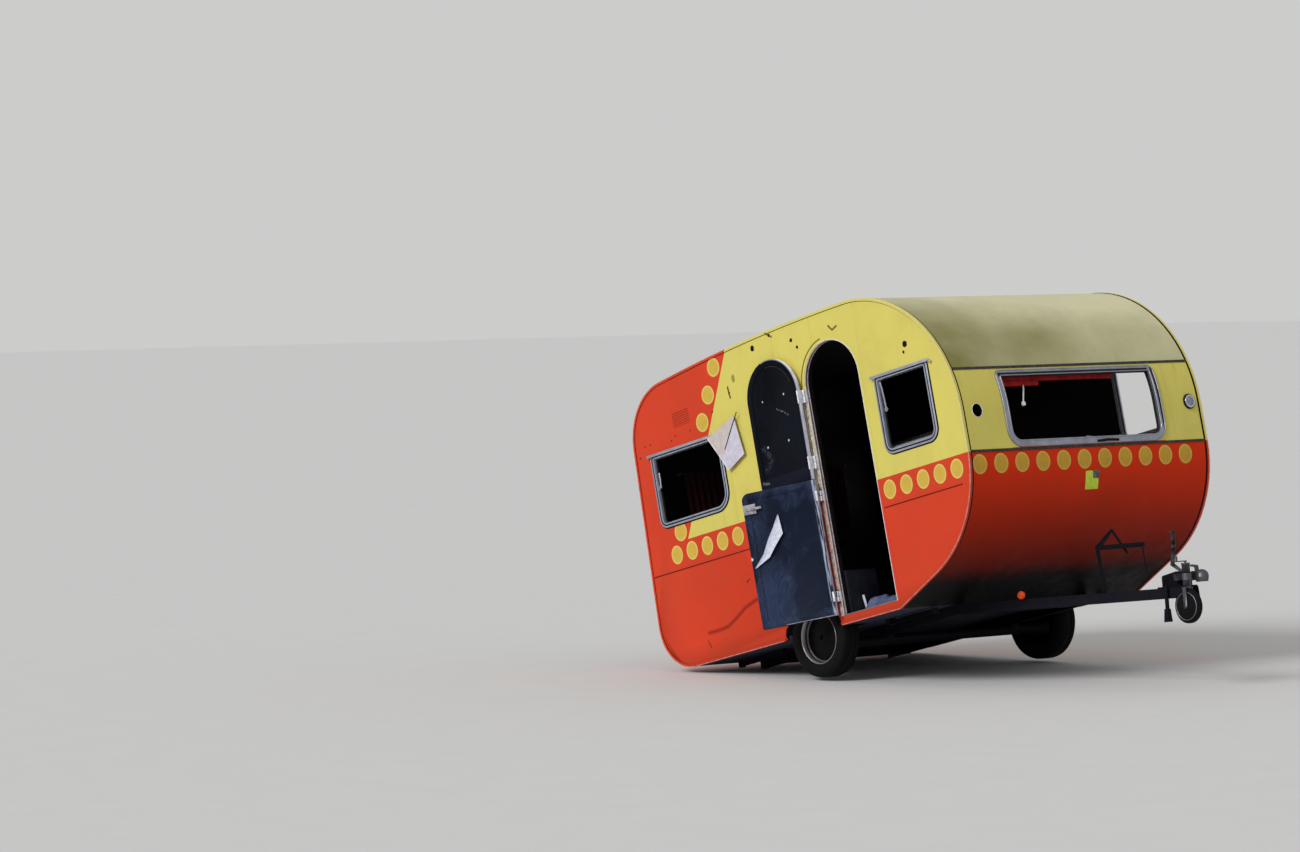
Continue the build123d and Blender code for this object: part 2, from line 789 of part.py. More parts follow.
# Pressed head over the ball, on its shaft, with the release lever on top: radius and height
head_outline = [
    (0, coupling_head_radius),
    (coupling_head_radius / 2, coupling_head_radius - 5),
    (coupling_head_radius - 5, coupling_head_radius / 2),
    (coupling_head_radius, 0),
    (coupling_skirt_radius, coupling_mouth - coupling_head_radius),
    (ball_radius, coupling_mouth - coupling_head_radius),
    (ball_radius, 0),
    (0, 0),
]
with BuildPart() as coupling_head:
    with BuildSketch(Plane.YZ.offset(-20 - housing_length)):
        with Locations((0, coupling_axis)):
            Circle(shaft_radius)
    extrude(amount=housing_length + 20 + coupling_ball_x - 20)
    with BuildSketch(Plane.XZ):
        with Locations((coupling_ball_x - 26, coupling_axis + 8)):
            Rectangle(60, 50)
    extrude(amount=30, both=True)
    with BuildSketch(Plane.XY.offset(coupling_axis)):
        with Locations((coupling_ball_x, 0)):
            Circle(ball_radius)
    extrude(amount=-coupling_head_radius, mode=Mode.SUBTRACT)
    with BuildSketch(Plane.XZ):
        with BuildLine():
            Polyline(*((coupling_ball_x + r, coupling_axis + z) for r, z in head_outline), close=True)
        make_face()
    revolve(axis=Axis((coupling_ball_x, 0, 0), (0, 0, 1)))
    with BuildSketch(Plane.XZ):
        with BuildLine():
            Polyline(
                (coupling_ball_x - 40, coupling_axis + 30),
                (coupling_ball_x - 28, coupling_axis + 30),
                (coupling_ball_x - 36, coupling_axis + 66),
                (coupling_ball_x - 78, coupling_axis + 72),
                (coupling_ball_x - 78, coupling_axis + 60),
                (coupling_ball_x - 48, coupling_axis + 56),
                close=True,
            )
        make_face()
    extrude(amount=12, both=True)
keep("coupling_head", coupling_head, hitch)

with BuildPart() as handbrake:
    with BuildSketch(Plane.XZ):
        with BuildLine():
            Polyline(
                (-52, housing_height - 16),
                (-34, housing_height - 12),
                (-118, 140),
                (-102, 236),
                (-120, 236),
                (-144, 132),
                close=True,
            )
        make_face()
    extrude(amount=6, both=True)
    with BuildSketch(Plane.XZ):
        with BuildLine():
            Polyline((-111, 232), (-97, 232), (-100, 300), (-90, 330), (-111, 330), close=True)
        make_face()
    revolve(axis=Axis((-111, 0, 0), (0, 0, 1)))
    add(coupling_housing.part, mode=Mode.SUBTRACT)
keep("handbrake_lever", handbrake, hitch)

# Prop leg on the outside of the near beam
prop_x = -91
prop_radius = 12
prop_back = -prop_x * cos(radians(draw_pitch)) + rail_depth * sin(radians(draw_pitch))
rail_face = draw_tip_y + rail_width / 2 + draw_splay * prop_back
prop_y = -rail_face - prop_radius * hypot(1, draw_splay) - fit
with BuildPart() as prop_leg:
    with BuildSketch(Plane.XY.offset(-182)):
        with Locations((prop_x, prop_y)):
            Circle(prop_radius)
    extrude(amount=196)
    with BuildSketch(Plane.XY.offset(-197)):
        with Locations((prop_x, prop_y)):
            Rectangle(38, 34)
    with BuildSketch(Plane.XY.offset(-120)):
        with Locations((prop_x, prop_y)):
            Rectangle(27, 26)
    loft()
keep("prop_leg", prop_leg, hitch)

# Jockey wheel: clamp, outer tube with its crank, sliding tube, swivelling fork and wheel
with BuildPart() as jockey_clamp:
    with BuildSketch(Plane.XY.offset(40)):
        with Locations((jockey_x, jockey_y)):
            Circle(jockey_tube_radius + 7)
        with BuildLine():
            Polyline(
                (-60, -housing_half),
                (-20, -housing_half),
                (jockey_x - 6, jockey_y + 22),
                (jockey_x - 20, jockey_y - 10),
                (-60, -housing_half - 34),
                close=True,
            )
        make_face()
        with Locations((jockey_x, jockey_y)):
            Circle(jockey_tube_radius, mode=Mode.SUBTRACT)
    extrude(amount=38)
keep("jockey_clamp", jockey_clamp, hitch)

with BuildPart() as jockey_tube:
    with BuildSketch(Plane.XY.offset(jockey_tube_low)):
        with Locations((jockey_x, jockey_y)):
            Circle(jockey_tube_radius)
            Circle(jockey_tube_bore, mode=Mode.SUBTRACT)
    extrude(amount=jockey_tube_top - jockey_tube_low)
    with BuildSketch(Plane.XY.offset(jockey_tube_top)):
        with Locations((jockey_x, jockey_y)):
            Circle(jockey_tube_radius + 2)
    extrude(amount=8)
    with BuildSketch(Plane.XY.offset(jockey_tube_top + 8)):
        with Locations((jockey_x, jockey_y)):
            Circle(7)
    extrude(amount=14)
    with BuildSketch(Plane.XY.offset(jockey_tube_top + 16)):
        with Locations((jockey_x - 35, jockey_y)):
            Rectangle(86, 12)
    extrude(amount=6)
    with BuildSketch(Plane.XY.offset(jockey_tube_top + 22)):
        with Locations((jockey_x - 70, jockey_y)):
            Circle(7)
    extrude(amount=28)
keep("jockey_tube", jockey_tube, hitch)

fork_inner = jockey_wheel_width / 2 + 5
fork_outer = fork_inner + 4
crown_low = -jockey_wheel_drop + jockey_wheel_radius + 6
crown_high = jockey_tube_low - 5
with BuildPart() as jockey_slider:
    with BuildSketch(Plane.XY.offset(crown_high + fit)):
        with Locations((jockey_x, jockey_y)):
            Circle(jockey_inner_radius)
    extrude(amount=jockey_tube_top - 6 - crown_high)
keep("jockey_slider", jockey_slider, hitch)

with BuildPart() as jockey_fork:
    with BuildSketch(Plane.XY.offset(crown_low)):
        with Locations((jockey_x, jockey_y)):
            Rectangle(34, 2 * fork_outer)
    extrude(amount=crown_high - crown_low)
    for way in (-1, 1):
        with BuildSketch(side_plane(jockey_y + way * fork_outer)):
            region(jockey_x - 14, jockey_x + 14, -jockey_wheel_drop, crown_low + 2, mode=Mode.ADD)
            with Locations((jockey_x, -jockey_wheel_drop)):
                Circle(14)
        extrude(amount=way * 4)
    with BuildSketch(side_plane(jockey_y)):
        with Locations((jockey_x, -jockey_wheel_drop)):
            Circle(jockey_pin)
    extrude(amount=fork_outer + 3, both=True)
keep("jockey_fork", jockey_fork, hitch)

# Half section of the small wheel: sideways and radius
wheel_half = jockey_wheel_width / 2
wheel_side = [
    (wheel_half, jockey_pin + pin_clearance),
    (wheel_half, jockey_wheel_radius - 12),
    (wheel_half - 10, jockey_wheel_radius),
]
with BuildPart() as jockey_wheel:
    hub_centre = (jockey_x, jockey_y, -jockey_wheel_drop)
    with BuildSketch(Plane(origin=hub_centre, x_dir=(0, 1, 0), z_dir=(-1, 0, 0))):
        with BuildLine():
            Polyline(*wheel_side, *((-y, r) for y, r in reversed(wheel_side)), close=True)
        make_face()
    revolve(axis=Axis(hub_centre, (0, 1, 0)))
keep("jockey_wheel", jockey_wheel, hitch)

# Bracket for gas bottles across the drawbar, with its bent strap and a loose rod
bracket_x = 1700
bracket_top = 144
bracket_post = 26
bracket_bar = 28
bracket_end = 180
bracket_thick = 6
rod_radius = 4
rod_length = 180
bracket_y = rail_y - draw_splay * (bracket_x - nose_start)
bracket_base = -(bracket_x - nose_start) * draw_drop / (draw_tip_x - nose_start)
with BuildPart() as bottle_bracket:
    with BuildSketch(Plane.YZ.offset(bracket_x)):
        with Locations((-bracket_y, (bracket_base + bracket_top) / 2)):
            Rectangle(bracket_post, bracket_top - bracket_base)
        bar_start = -bracket_y - bracket_post / 2
        bar_low = bracket_top - bracket_bar / 2
        with BuildLine():
            Polyline(
                (bar_start, bar_low + bracket_bar),
                (bar_start, bar_low),
                (bracket_end, bar_low + 4),
                (bracket_end, bar_low + 4 + bracket_bar),
                close=True,
            )
        make_face()
    extrude(amount=bracket_thick)
    with BuildSketch(Plane.XY.offset(bar_low + bracket_bar - rod_length)):
        with Locations((bracket_x + bracket_thick / 2, bracket_end - 20)):
            Circle(rod_radius)
    extrude(amount=rod_length)
    with BuildSketch(Plane.YZ.offset(bracket_x - 6)):
        with BuildLine():
            FilletPolyline(
                (-208, 146),
                (-186, 138),
                (-66, 234),
                (28, 98),
                (40, 106),
                (-62, 258),
                (-212, 160),
                radius=[0, 0, 6, 0, 0, 14, 0],
                close=True,
            )
        make_face()
    extrude(amount=6)
keep("bottle_bracket", bottle_bracket)

# Lamps: one left at the front, two round ones at the back: name, places, direction
tail_lamp_y = half_width - tail_lamp_side
for name, places, way in (
    ("lamp_front", [(half_width - lamp_side, lamp_height)], 1),
    ("lamps_rear", [(-tail_lamp_y, tail_lamp_height), (tail_lamp_y, tail_lamp_height)], -1),
):
    with BuildPart() as lamp:
        shell_band(-reach * (way < 0), reach * (way > 0), 0, reach, lamp_proud, 0)
        with BuildSketch(Plane.YZ):
            with Locations(*places):
                Circle(lamp_radius)
        extrude(amount=way * reach, mode=Mode.INTERSECT)
    keep(name, lamp)

# The torn pane that hangs from the upper front corner of the rear side window, from that corner
pane_corners = ((-88, -17), (181, 72), (225, -178), (61, -247))
with BuildPart() as hanging_pane:
    window, radii = side_windows["rear"]
    with BuildSketch(side_plane(-half_width - frame_proud - drip_rail_depth - fit)):
        with BuildLine():
            Polyline(*((window[1] + x, window[3] + z) for x, z in pane_corners), close=True)
        make_face()
    extrude(amount=pane_thick)
keep("hanging_pane", hanging_pane)

# Tip the caravan back onto its tyres and the feet of the rear steadies, then centre it
foot_x = -steady_pivot_x - steady_length
foot_drop = steady_pad_low - axle_height
tilt = degrees(asin(tyre_radius / hypot(foot_x, foot_drop)) - atan2(-foot_drop, -foot_x))
tipped = Location((0, 0, 0), (0, -tilt, 0))
bounds = Compound(children=[piece.moved(tipped) for piece in pieces.values()]).bounding_box()
parked = Location((-bounds.center().X, -bounds.center().Y, -bounds.min.Z)) * tipped

os.makedirs("parts", exist_ok=True)
for label, piece in pieces.items():
    stood = piece.moved(parked)
    stood.label = label
    export_step(stood, f"parts/{label}.step")
print("tilt", round(tilt, 3), "shift", parked.position)
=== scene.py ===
"""Finishes for a small touring caravan: paint, metal, rubber, linings, fittings and the stage."""
import json
import math

import bmesh
import bpy
from mathutils import Matrix, Vector, kdtree, noise

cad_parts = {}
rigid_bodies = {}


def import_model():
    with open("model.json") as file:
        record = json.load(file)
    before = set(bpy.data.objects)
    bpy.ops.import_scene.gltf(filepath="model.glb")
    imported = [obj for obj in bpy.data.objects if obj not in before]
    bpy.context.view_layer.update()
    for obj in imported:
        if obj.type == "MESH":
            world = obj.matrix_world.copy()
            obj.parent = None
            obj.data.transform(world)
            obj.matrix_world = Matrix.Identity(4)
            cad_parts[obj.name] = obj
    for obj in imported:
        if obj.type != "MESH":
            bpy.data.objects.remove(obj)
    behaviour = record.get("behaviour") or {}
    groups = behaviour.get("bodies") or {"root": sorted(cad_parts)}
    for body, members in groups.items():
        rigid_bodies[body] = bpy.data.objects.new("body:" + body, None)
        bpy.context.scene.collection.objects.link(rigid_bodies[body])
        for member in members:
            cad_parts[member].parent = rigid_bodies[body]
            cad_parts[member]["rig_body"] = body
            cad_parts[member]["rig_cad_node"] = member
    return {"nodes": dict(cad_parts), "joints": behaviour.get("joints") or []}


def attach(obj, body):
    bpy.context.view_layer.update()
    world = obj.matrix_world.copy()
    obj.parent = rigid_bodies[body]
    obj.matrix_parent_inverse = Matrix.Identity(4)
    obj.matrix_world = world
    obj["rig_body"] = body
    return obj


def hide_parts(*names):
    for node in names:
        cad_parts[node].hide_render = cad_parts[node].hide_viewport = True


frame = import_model()

bl_info = {
    "name": "Touring caravan finishes",
    "version": (1, 0, 0),
    "blender": (4, 5, 0),
    "location": "View3D > Sidebar > Caravan",
    "description": "Dresses the solids of a small touring caravan and sets them on a pale stage",
    "category": "Object",
}

JOINTS = {joint["name"]: joint for joint in frame["joints"]}
AXLE_HEIGHT = -0.034


def level_place():
    """Where the cabin's own level frame lies in the frame of the solids."""
    up = Vector(JOINTS["upper_door_hinge"]["axis"])
    axle = Vector(JOINTS["wheel_right_spin"]["pos_m"])
    axle.y = (axle.y + JOINTS["wheel_left_spin"]["pos_m"][1]) / 2
    tip = Matrix.Rotation(-math.atan2(-up.x, up.z), 4, "Y")
    return Matrix.Translation(axle - tip @ Vector((0, 0, AXLE_HEIGHT))) @ tip


# The cabin stands tail down. LEVEL turns its own level frame, with the axle at x 0 and the lower
# edge of the walls at z 0, into the frame of the solids.
LEVEL = level_place()
UNLEVEL = LEVEL.inverted()

HALF_WIDTH = 1.0
WALL = 0.028
ARCH_RADIUS = 0.262
WHEEL_MIDDLE = 0.912
# Ahead of this x there is only the nose's own face
FRONT_FACE = 1.4
HINGE = Vector((0.283, -1.015, 0))
OPEN_ANGLES = {"upper_door": 181.5, "lower_door": 150}
DOOR_REAR, DOOR_FRONT, DOOR_LOW, DOOR_SPRING = 0.288, 0.776, 0.050, 1.440
DOOR_MIDDLE = (DOOR_REAR + DOOR_FRONT) / 2
# Box (low x, high x, low z, high z) and corner radii of each side window
SIDE_WINDOWS = (
    ((0.896, 1.368, 0.900, 1.378), (0.070, 0.080, 0.035, 0.035)),
    ((-1.232, -0.552, 0.883, 1.352), (0.060, 0.120, 0.045, 0.035)),
)


def srgb(red, green, blue):
    """A colour from 0 to 255 as seen on a screen, as linear light."""
    parts = (channel / 255 for channel in (red, green, blue))
    return tuple(p / 12.92 if p <= 0.04045 else ((p + 0.055) / 1.055) ** 2.4 for p in parts)


def scaled(colour, share):
    """A colour with each channel times a share."""
    return [channel * share for channel in colour]


def rotation(degrees, axis):
    """A turn about an axis through the origin."""
    return Matrix.Rotation(math.radians(degrees), 4, axis)


def swing(degrees):
    """A turn about the door's hinge line."""
    return Matrix.Translation(HINGE) @ rotation(degrees, "Z") @ Matrix.Translation(-HINGE)


def opened(body):
    """Where a piece modelled level on a closed leaf stands when the leaf is open."""
    return LEVEL @ swing(-OPEN_ANGLES[body])


# Outlines

# Sides of the cabin's side view: the angle of the way out in degrees, how far out the side lies
# that way from the origin, and the radius of the corner that leads on to the next side
SIDES = (
    (-90, 0, 0),
    (-67.8, 0.788 * math.sin(math.radians(22.2)), 0.700),
    (0, 1.583, 0.850),
    (90, 1.872, 15.5),
    (96, 0.131 * math.sin(math.radians(6)) + 1.872 * math.cos(math.radians(6)), 0.375),
    (178.2, 1.419 * math.cos(math.radians(1.8)), 0.285),
)


def evened(points, step):
    """A closed run of points with more put in, so that they are at most about a step apart."""
    even = []
    for start, end in zip(points, points[1:] + points[:1]):
        count = max(int((end - start).length / step), 1)
        even += [start.lerp(end, index / count) for index in range(count)]
    return even


def outline_points(inset=0.0, step=0.03):
    """The cabin's side view as points (x, z) a step apart, forward along the bottom first."""
    points = []
    for number, (degrees, distance, corner_radius) in enumerate(SIDES):
        next_degrees, next_distance, _ = SIDES[(number + 1) % len(SIDES)]
        first, following = math.radians(degrees), math.radians(next_degrees)
        near, far = distance - inset, next_distance - inset
        sweep = (following - first) % math.tau
        corner = Vector(
            (
                (near * math.sin(following) - far * math.sin(first)) / math.sin(sweep),
                (far * math.cos(first) - near * math.cos(following)) / math.sin(sweep),
            )
        )
        radius = max(corner_radius - inset, 0)
        bisector = Vector((math.cos(first + sweep / 2), math.sin(first + sweep / 2)))
        centre = corner - bisector * (radius / math.cos(sweep / 2))
        count = max(int(sweep * radius / step), 1)
        for index in range(count + 1):
            angle = first + sweep * index / count
            points.append(centre + Vector((math.cos(angle), math.sin(angle))) * radius)
    return evened(points, step)


def reach_at(height, way=1, out=0.0):
    """How far along the cabin reaches at a height, to the front (1) or to the rear (-1)."""
    points = outline_points(-out, 0.01)
    found = []
    for start, end in zip(points, points[1:] + points[:1]):
        if (start.y - height) * (end.y - height) <= 0 and start.y != end.y:
            found.append(start.x + (end.x - start.x) * (height - start.y) / (end.y - start.y))
    return max(found, key=lambda x: x * way)


def edge_run(inset=0.0, step=0.03):
    """The outline as one open run, from in front of the wheel arch round to behind it."""
    points = outline_points(inset, step)
    hub = Vector((0, AXLE_HEIGHT))
    clear = [(point - hub).length > ARCH_RADIUS for point in points]
    start = next(i for i in range(len(points)) if clear[i] and not clear[i - 1])
    ordered = points[start:] + points[:start]
    return [point for point in ordered if (point - hub).length > ARCH_RADIUS]


def door_run(inset=0.0, low=DOOR_LOW, arc_steps=20):
    """The arched doorway from its lower rear corner over the top, as points (x, z)."""
    radius = (DOOR_FRONT - DOOR_REAR) / 2 - inset
    points = [(DOOR_REAR + inset, low)]
    for index in range(arc_steps + 1):
        angle = math.pi * (1 - index / arc_steps)
        points.append((DOOR_MIDDLE + radius * math.cos(angle), DOOR_SPRING + radius * math.sin(angle)))
    points.append((DOOR_FRONT - inset, low))
    return points


def end_window_run(inset, steps=8):
    """The end windows' outline as points (y, z), moved inwards."""
    half, low, high = 0.660 - inset, 0.790 + inset, 1.262 - inset
    lower, upper = max(0.105 - inset, 0.01), max(0.045 - inset, 0.01)
    points = []
    for y, z, radius, start in (
        (half - lower, low + lower, lower, -90),
        (half - upper, high - upper, upper, 0),
        (-half + upper, high - upper, upper, 90),
        (-half + lower, low + lower, lower, 180),
    ):
        for index in range(steps + 1):
            angle = math.radians(start + 90 * index / steps)
            points.append(Vector((y + radius * math.cos(angle), z + radius * math.sin(angle))))
    return evened(points, 0.05)


def circle(radius, count):
    """Points (across, up) on a circle about the origin."""
    angles = (math.tau * index / count for index in range(count))
    return [(radius * math.cos(angle), radius * math.sin(angle)) for angle in angles]


def shrunk(box, inset):
    """A box (low x, high x, low z, high z) with all its sides moved inwards."""
    low_x, high_x, low_z, high_z = box
    return low_x + inset, high_x - inset, low_z + inset, high_z - inset


# Modelling helpers


def clear_selection():
    """Deselect everything, so that the next operator acts on its own piece."""
    if bpy.context.object and bpy.context.object.mode != "OBJECT":
        bpy.ops.object.mode_set(mode="OBJECT")
    bpy.ops.object.select_all(action="DESELECT")


def choose(*pieces):
    """Select these pieces, the first one active."""
    clear_selection()
    for piece in pieces:
        piece.select_set(True)
    bpy.context.view_layer.objects.active = pieces[0]


def named(name):
    """Name the piece that an operator has just added."""
    piece = bpy.context.object
    piece.name = name
    piece.data.name = name
    return piece


def apply_place(piece):
    """Put the piece's place, turn and scale into its mesh."""
    choose(piece)
    bpy.ops.object.transform_apply(location=True, rotation=True, scale=True)


def placed(piece, place):
    """The piece moved from the origin to a place, which goes into its mesh."""
    piece.matrix_world = place
    apply_place(piece)
    return piece


def apply_modifier(piece, kind, **settings):
    """Add a modifier with these settings and apply it."""
    choose(piece)
    modifier = piece.modifiers.new(kind.title(), kind)
    for key, value in settings.items():
        setattr(modifier, key, value)
    bpy.ops.object.modifier_apply(modifier=modifier.name)


def smooth(piece, angle=35):
    """Smooth shading, with edges sharper than the angle left crisp."""
    choose(piece)
    bpy.ops.object.shade_smooth_by_angle(angle=math.radians(angle))


def tidy_mesh(piece, distance=0.00003):
    """Merge doubled vertices and point all faces outwards."""
    choose(piece)
    bpy.ops.object.mode_set(mode="EDIT")
    bpy.ops.mesh.select_all(action="SELECT")
    bpy.ops.mesh.remove_doubles(threshold=distance)
    bpy.ops.mesh.normals_make_consistent(inside=False)
    bpy.ops.object.mode_set(mode="OBJECT")


def joined(name, pieces):
    """One piece from several."""
    choose(*pieces)
    if len(pieces) > 1:
        bpy.ops.object.join()
    return named(name)


def paint(piece, key):
    """Give the piece one material."""
    piece.data.materials.clear()
    piece.data.materials.append(MATERIALS[key])


def fit(piece, key, body="caravan", place=LEVEL, angle=35):
    """Tip a piece modelled level into place, give it its material and let it ride on a body."""
    placed(piece, place)
    smooth(piece, angle)
    paint(piece, key)
    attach(piece, body)
    return piece


def skin(key, *nodes, angle=35, bent=False, soften=0.0):
    """Merged copies of solids with smooth curves, which show in their places."""
    for node in nodes:
        choose(frame["nodes"][node])
        bpy.ops.object.duplicate()
        piece = named(f"{node}_skin")
        body = piece["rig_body"]
        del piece["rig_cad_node"]
        piece.parent = None
        tidy_mesh(piece)
        if soften:
            bpy.ops.object.mode_set(mode="EDIT")
            bpy.ops.mesh.select_all(action="SELECT")
            bpy.ops.mesh.dissolve_limited(angle_limit=math.radians(0.5))
            bpy.ops.object.mode_set(mode="OBJECT")
            limit = {"limit_method": "ANGLE", "angle_limit": math.radians(40)}
            apply_modifier(piece, "BEVEL", width=soften, segments=2, **limit)
        smooth(piece, angle)
        if bent:
            round_shading(piece)
        paint(piece, key)
        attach(piece, body)
        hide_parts(node)


def round_shading(piece):
    """Shade a bent panel by the cabin's own curve, so that its flat facets don't show."""
    points = outline_points(0, 0.004)
    tree = kdtree.KDTree(len(points))
    for index, point in enumerate(points):
        tree.insert((point.x, point.y, 0), index)
    tree.balance()
    turned_way = LEVEL.to_3x3()
    ways = []
    for vertex in piece.data.vertices:
        level = UNLEVEL @ vertex.co
        index = tree.find((level.x, level.z, 0))[1]
        run = points[(index + 1) % len(points)] - points[index - 1]
        ways.append(turned_way @ Vector((run.y, 0, -run.x)).normalized())
    normals = []
    for face in piece.data.polygons:
        for index in face.vertices:
            lean = face.normal.dot(ways[index])
            normals.append(ways[index] if lean > 0.9 else -ways[index] if lean < -0.9 else face.normal)
    piece.data.normals_split_custom_set(normals)


def block(name, low, high, soften=0.002):
    """A block between two corners with softened edges."""
    low, high = Vector(low), Vector(high)
    bpy.ops.mesh.primitive_cube_add(size=1, location=(low + high) / 2)
    piece = named(name)
    piece.scale = high - low
    apply_place(piece)
    apply_modifier(piece, "BEVEL", width=soften, segments=2)
    return piece


def rod(name, points, radius, sides=4, closed=False):
    """A round rod along straight or bent runs of points."""
    clear_selection()
    bpy.ops.curve.primitive_bezier_curve_add(location=(0, 0, 0))
    piece = named(name)
    curve = piece.data
    curve.splines.clear()
    line = curve.splines.new("POLY")
    line.points.add(len(points) - 1)
    for point, place in zip(line.points, points):
        point.co = (*place, 1)
    line.use_cyclic_u = closed
    curve.dimensions = "3D"
    curve.bevel_depth = radius
    curve.bevel_resolution = sides // 2
    curve.use_fill_caps = not closed
    choose(piece)
    bpy.ops.object.convert(target="MESH")
    tidy_mesh(piece)
    return piece


def turned(name, profile, segments=64):
    """A turned form about the Z axis, one ring for each radius and height."""
    clear_selection()
    radius, height = profile[0]
    bpy.ops.mesh.primitive_circle_add(vertices=segments, radius=radius, location=(0, 0, height))
    piece = named(name)
    apply_place(piece)
    bpy.ops.object.mode_set(mode="EDIT")
    bpy.ops.mesh.select_all(action="SELECT")
    for (near, low), (far, high) in zip(profile, profile[1:]):
        bpy.ops.mesh.extrude_edges_move(TRANSFORM_OT_translate={"value": (0, 0, high - low)})
        bpy.ops.transform.resize(value=(far / near, far / near, 1), center_override=(0, 0, high))
    bpy.ops.object.mode_set(mode="OBJECT")
    tidy_mesh(piece)
    return piece


def grid(name, columns, rows, size=1):
    """A flat square of columns and rows about the origin, to be shaped point by point."""
    clear_selection()
    bpy.ops.mesh.primitive_grid_add(x_subdivisions=columns, y_subdivisions=rows, size=size)
    return named(name)


def rounded_plate(name, box, radii, segments=8):
    """A plate in the XZ plane that faces -Y, with a radius for each corner of its box."""
    low_x, high_x, low_z, high_z = box
    clear_selection()
    bpy.ops.mesh.primitive_plane_add(
        size=1,
        location=((low_x + high_x) / 2, 0, (low_z + high_z) / 2),
        rotation=(math.pi / 2, 0, 0),
    )
    piece = named(name)
    piece.scale = (high_x - low_x, high_z - low_z, 1)
    apply_place(piece)
    bpy.ops.object.mode_set(mode="EDIT")
    bpy.ops.mesh.select_mode(type="VERT")
    corners = ((low_x, low_z), (high_x, low_z), (high_x, high_z), (low_x, high_z))
    for (x, z), radius in zip(corners, radii):
        mesh = bmesh.from_edit_mesh(piece.data)
        for vertex in mesh.verts:
            vertex.select_set((Vector((x, 0, z)) - vertex.co).length < 1e-5)
        mesh.select_flush(True)
        bmesh.update_edit_mesh(piece.data)
        bpy.ops.mesh.bevel(affect="VERTICES", offset=radius, segments=segments)
    bpy.ops.mesh.select_mode(type="FACE")
    bpy.ops.mesh.select_all(action="SELECT")
    return piece


def stepped_ring(name, box, radii, steps):
    """A frame pressed from a plate by insets of (width, height), open in the middle."""
    piece = rounded_plate(name, box, radii)
    for width, height in steps:
        bpy.ops.mesh.inset(thickness=width, depth=height)
    bpy.ops.mesh.delete(type="FACE")
    bpy.ops.mesh.select_mode(type="EDGE")
    bpy.ops.mesh.select_all(action="DESELECT")
    bpy.ops.mesh.select_non_manifold(extend=False)
    bpy.ops.mesh.bridge_edge_loops()
    bpy.ops.object.mode_set(mode="OBJECT")
    tidy_mesh(piece)
    return piece


def copies(piece, name, places):
    """The piece repeated at each matrix and joined into one, each copy with its own mesh."""
    made = []
    for place in places:
        choose(piece)
        bpy.ops.object.duplicate()
        copy = bpy.context.object
        copy.matrix_world = place @ piece.matrix_world
        made.append(copy)
    bpy.data.objects.remove(piece)
    whole = joined(name, made)
    apply_place(whole)
    tidy_mesh(whole, 0.000001)
    return whole


# Material helpers


class Value:
    """What a node puts out, with Math nodes behind its operators."""

    def __init__(self, shader, socket):
        self.shader = shader
        self.socket = socket

    def __add__(self, other):
        return self.shader.calc("ADD", self, other)

    def __sub__(self, other):
        return self.shader.calc("SUBTRACT", self, other)

    def __rsub__(self, other):
        return self.shader.calc("SUBTRACT", other, self)

    def __mul__(self, other):
        return self.shader.calc("MULTIPLY", self, other)

    def __gt__(self, other):
        return self.shader.calc("GREATER_THAN", self, other)

    def __lt__(self, other):
        return self.shader.calc("LESS_THAN", self, other)

    def __abs__(self):
        return self.shader.calc("ABSOLUTE", self)

    __radd__ = __add__

    def least(self, other):
        """The lesser of two values."""
        return self.shader.calc("MINIMUM", self, other)

    def most(self, other):
        """The greater of two values."""
        return self.shader.calc("MAXIMUM", self, other)

    def wrap(self, step):
        """How far the value is from the nearest multiple of a step."""
        return self.shader.calc("WRAP", self, step / 2, -step / 2)

    def within(self, low, high):
        """1 where the value lies between two limits."""
        return (self > low) * (self < high)

    def ramp(self, low, high, start=0.0, end=1.0):
        """The value between low and high, as 0 to 1 or start to end."""
        inputs = {"Value": self, "From Min": low, "From Max": high, "To Min": start, "To Max": end}
        return self.shader.value("ShaderNodeMapRange", inputs)


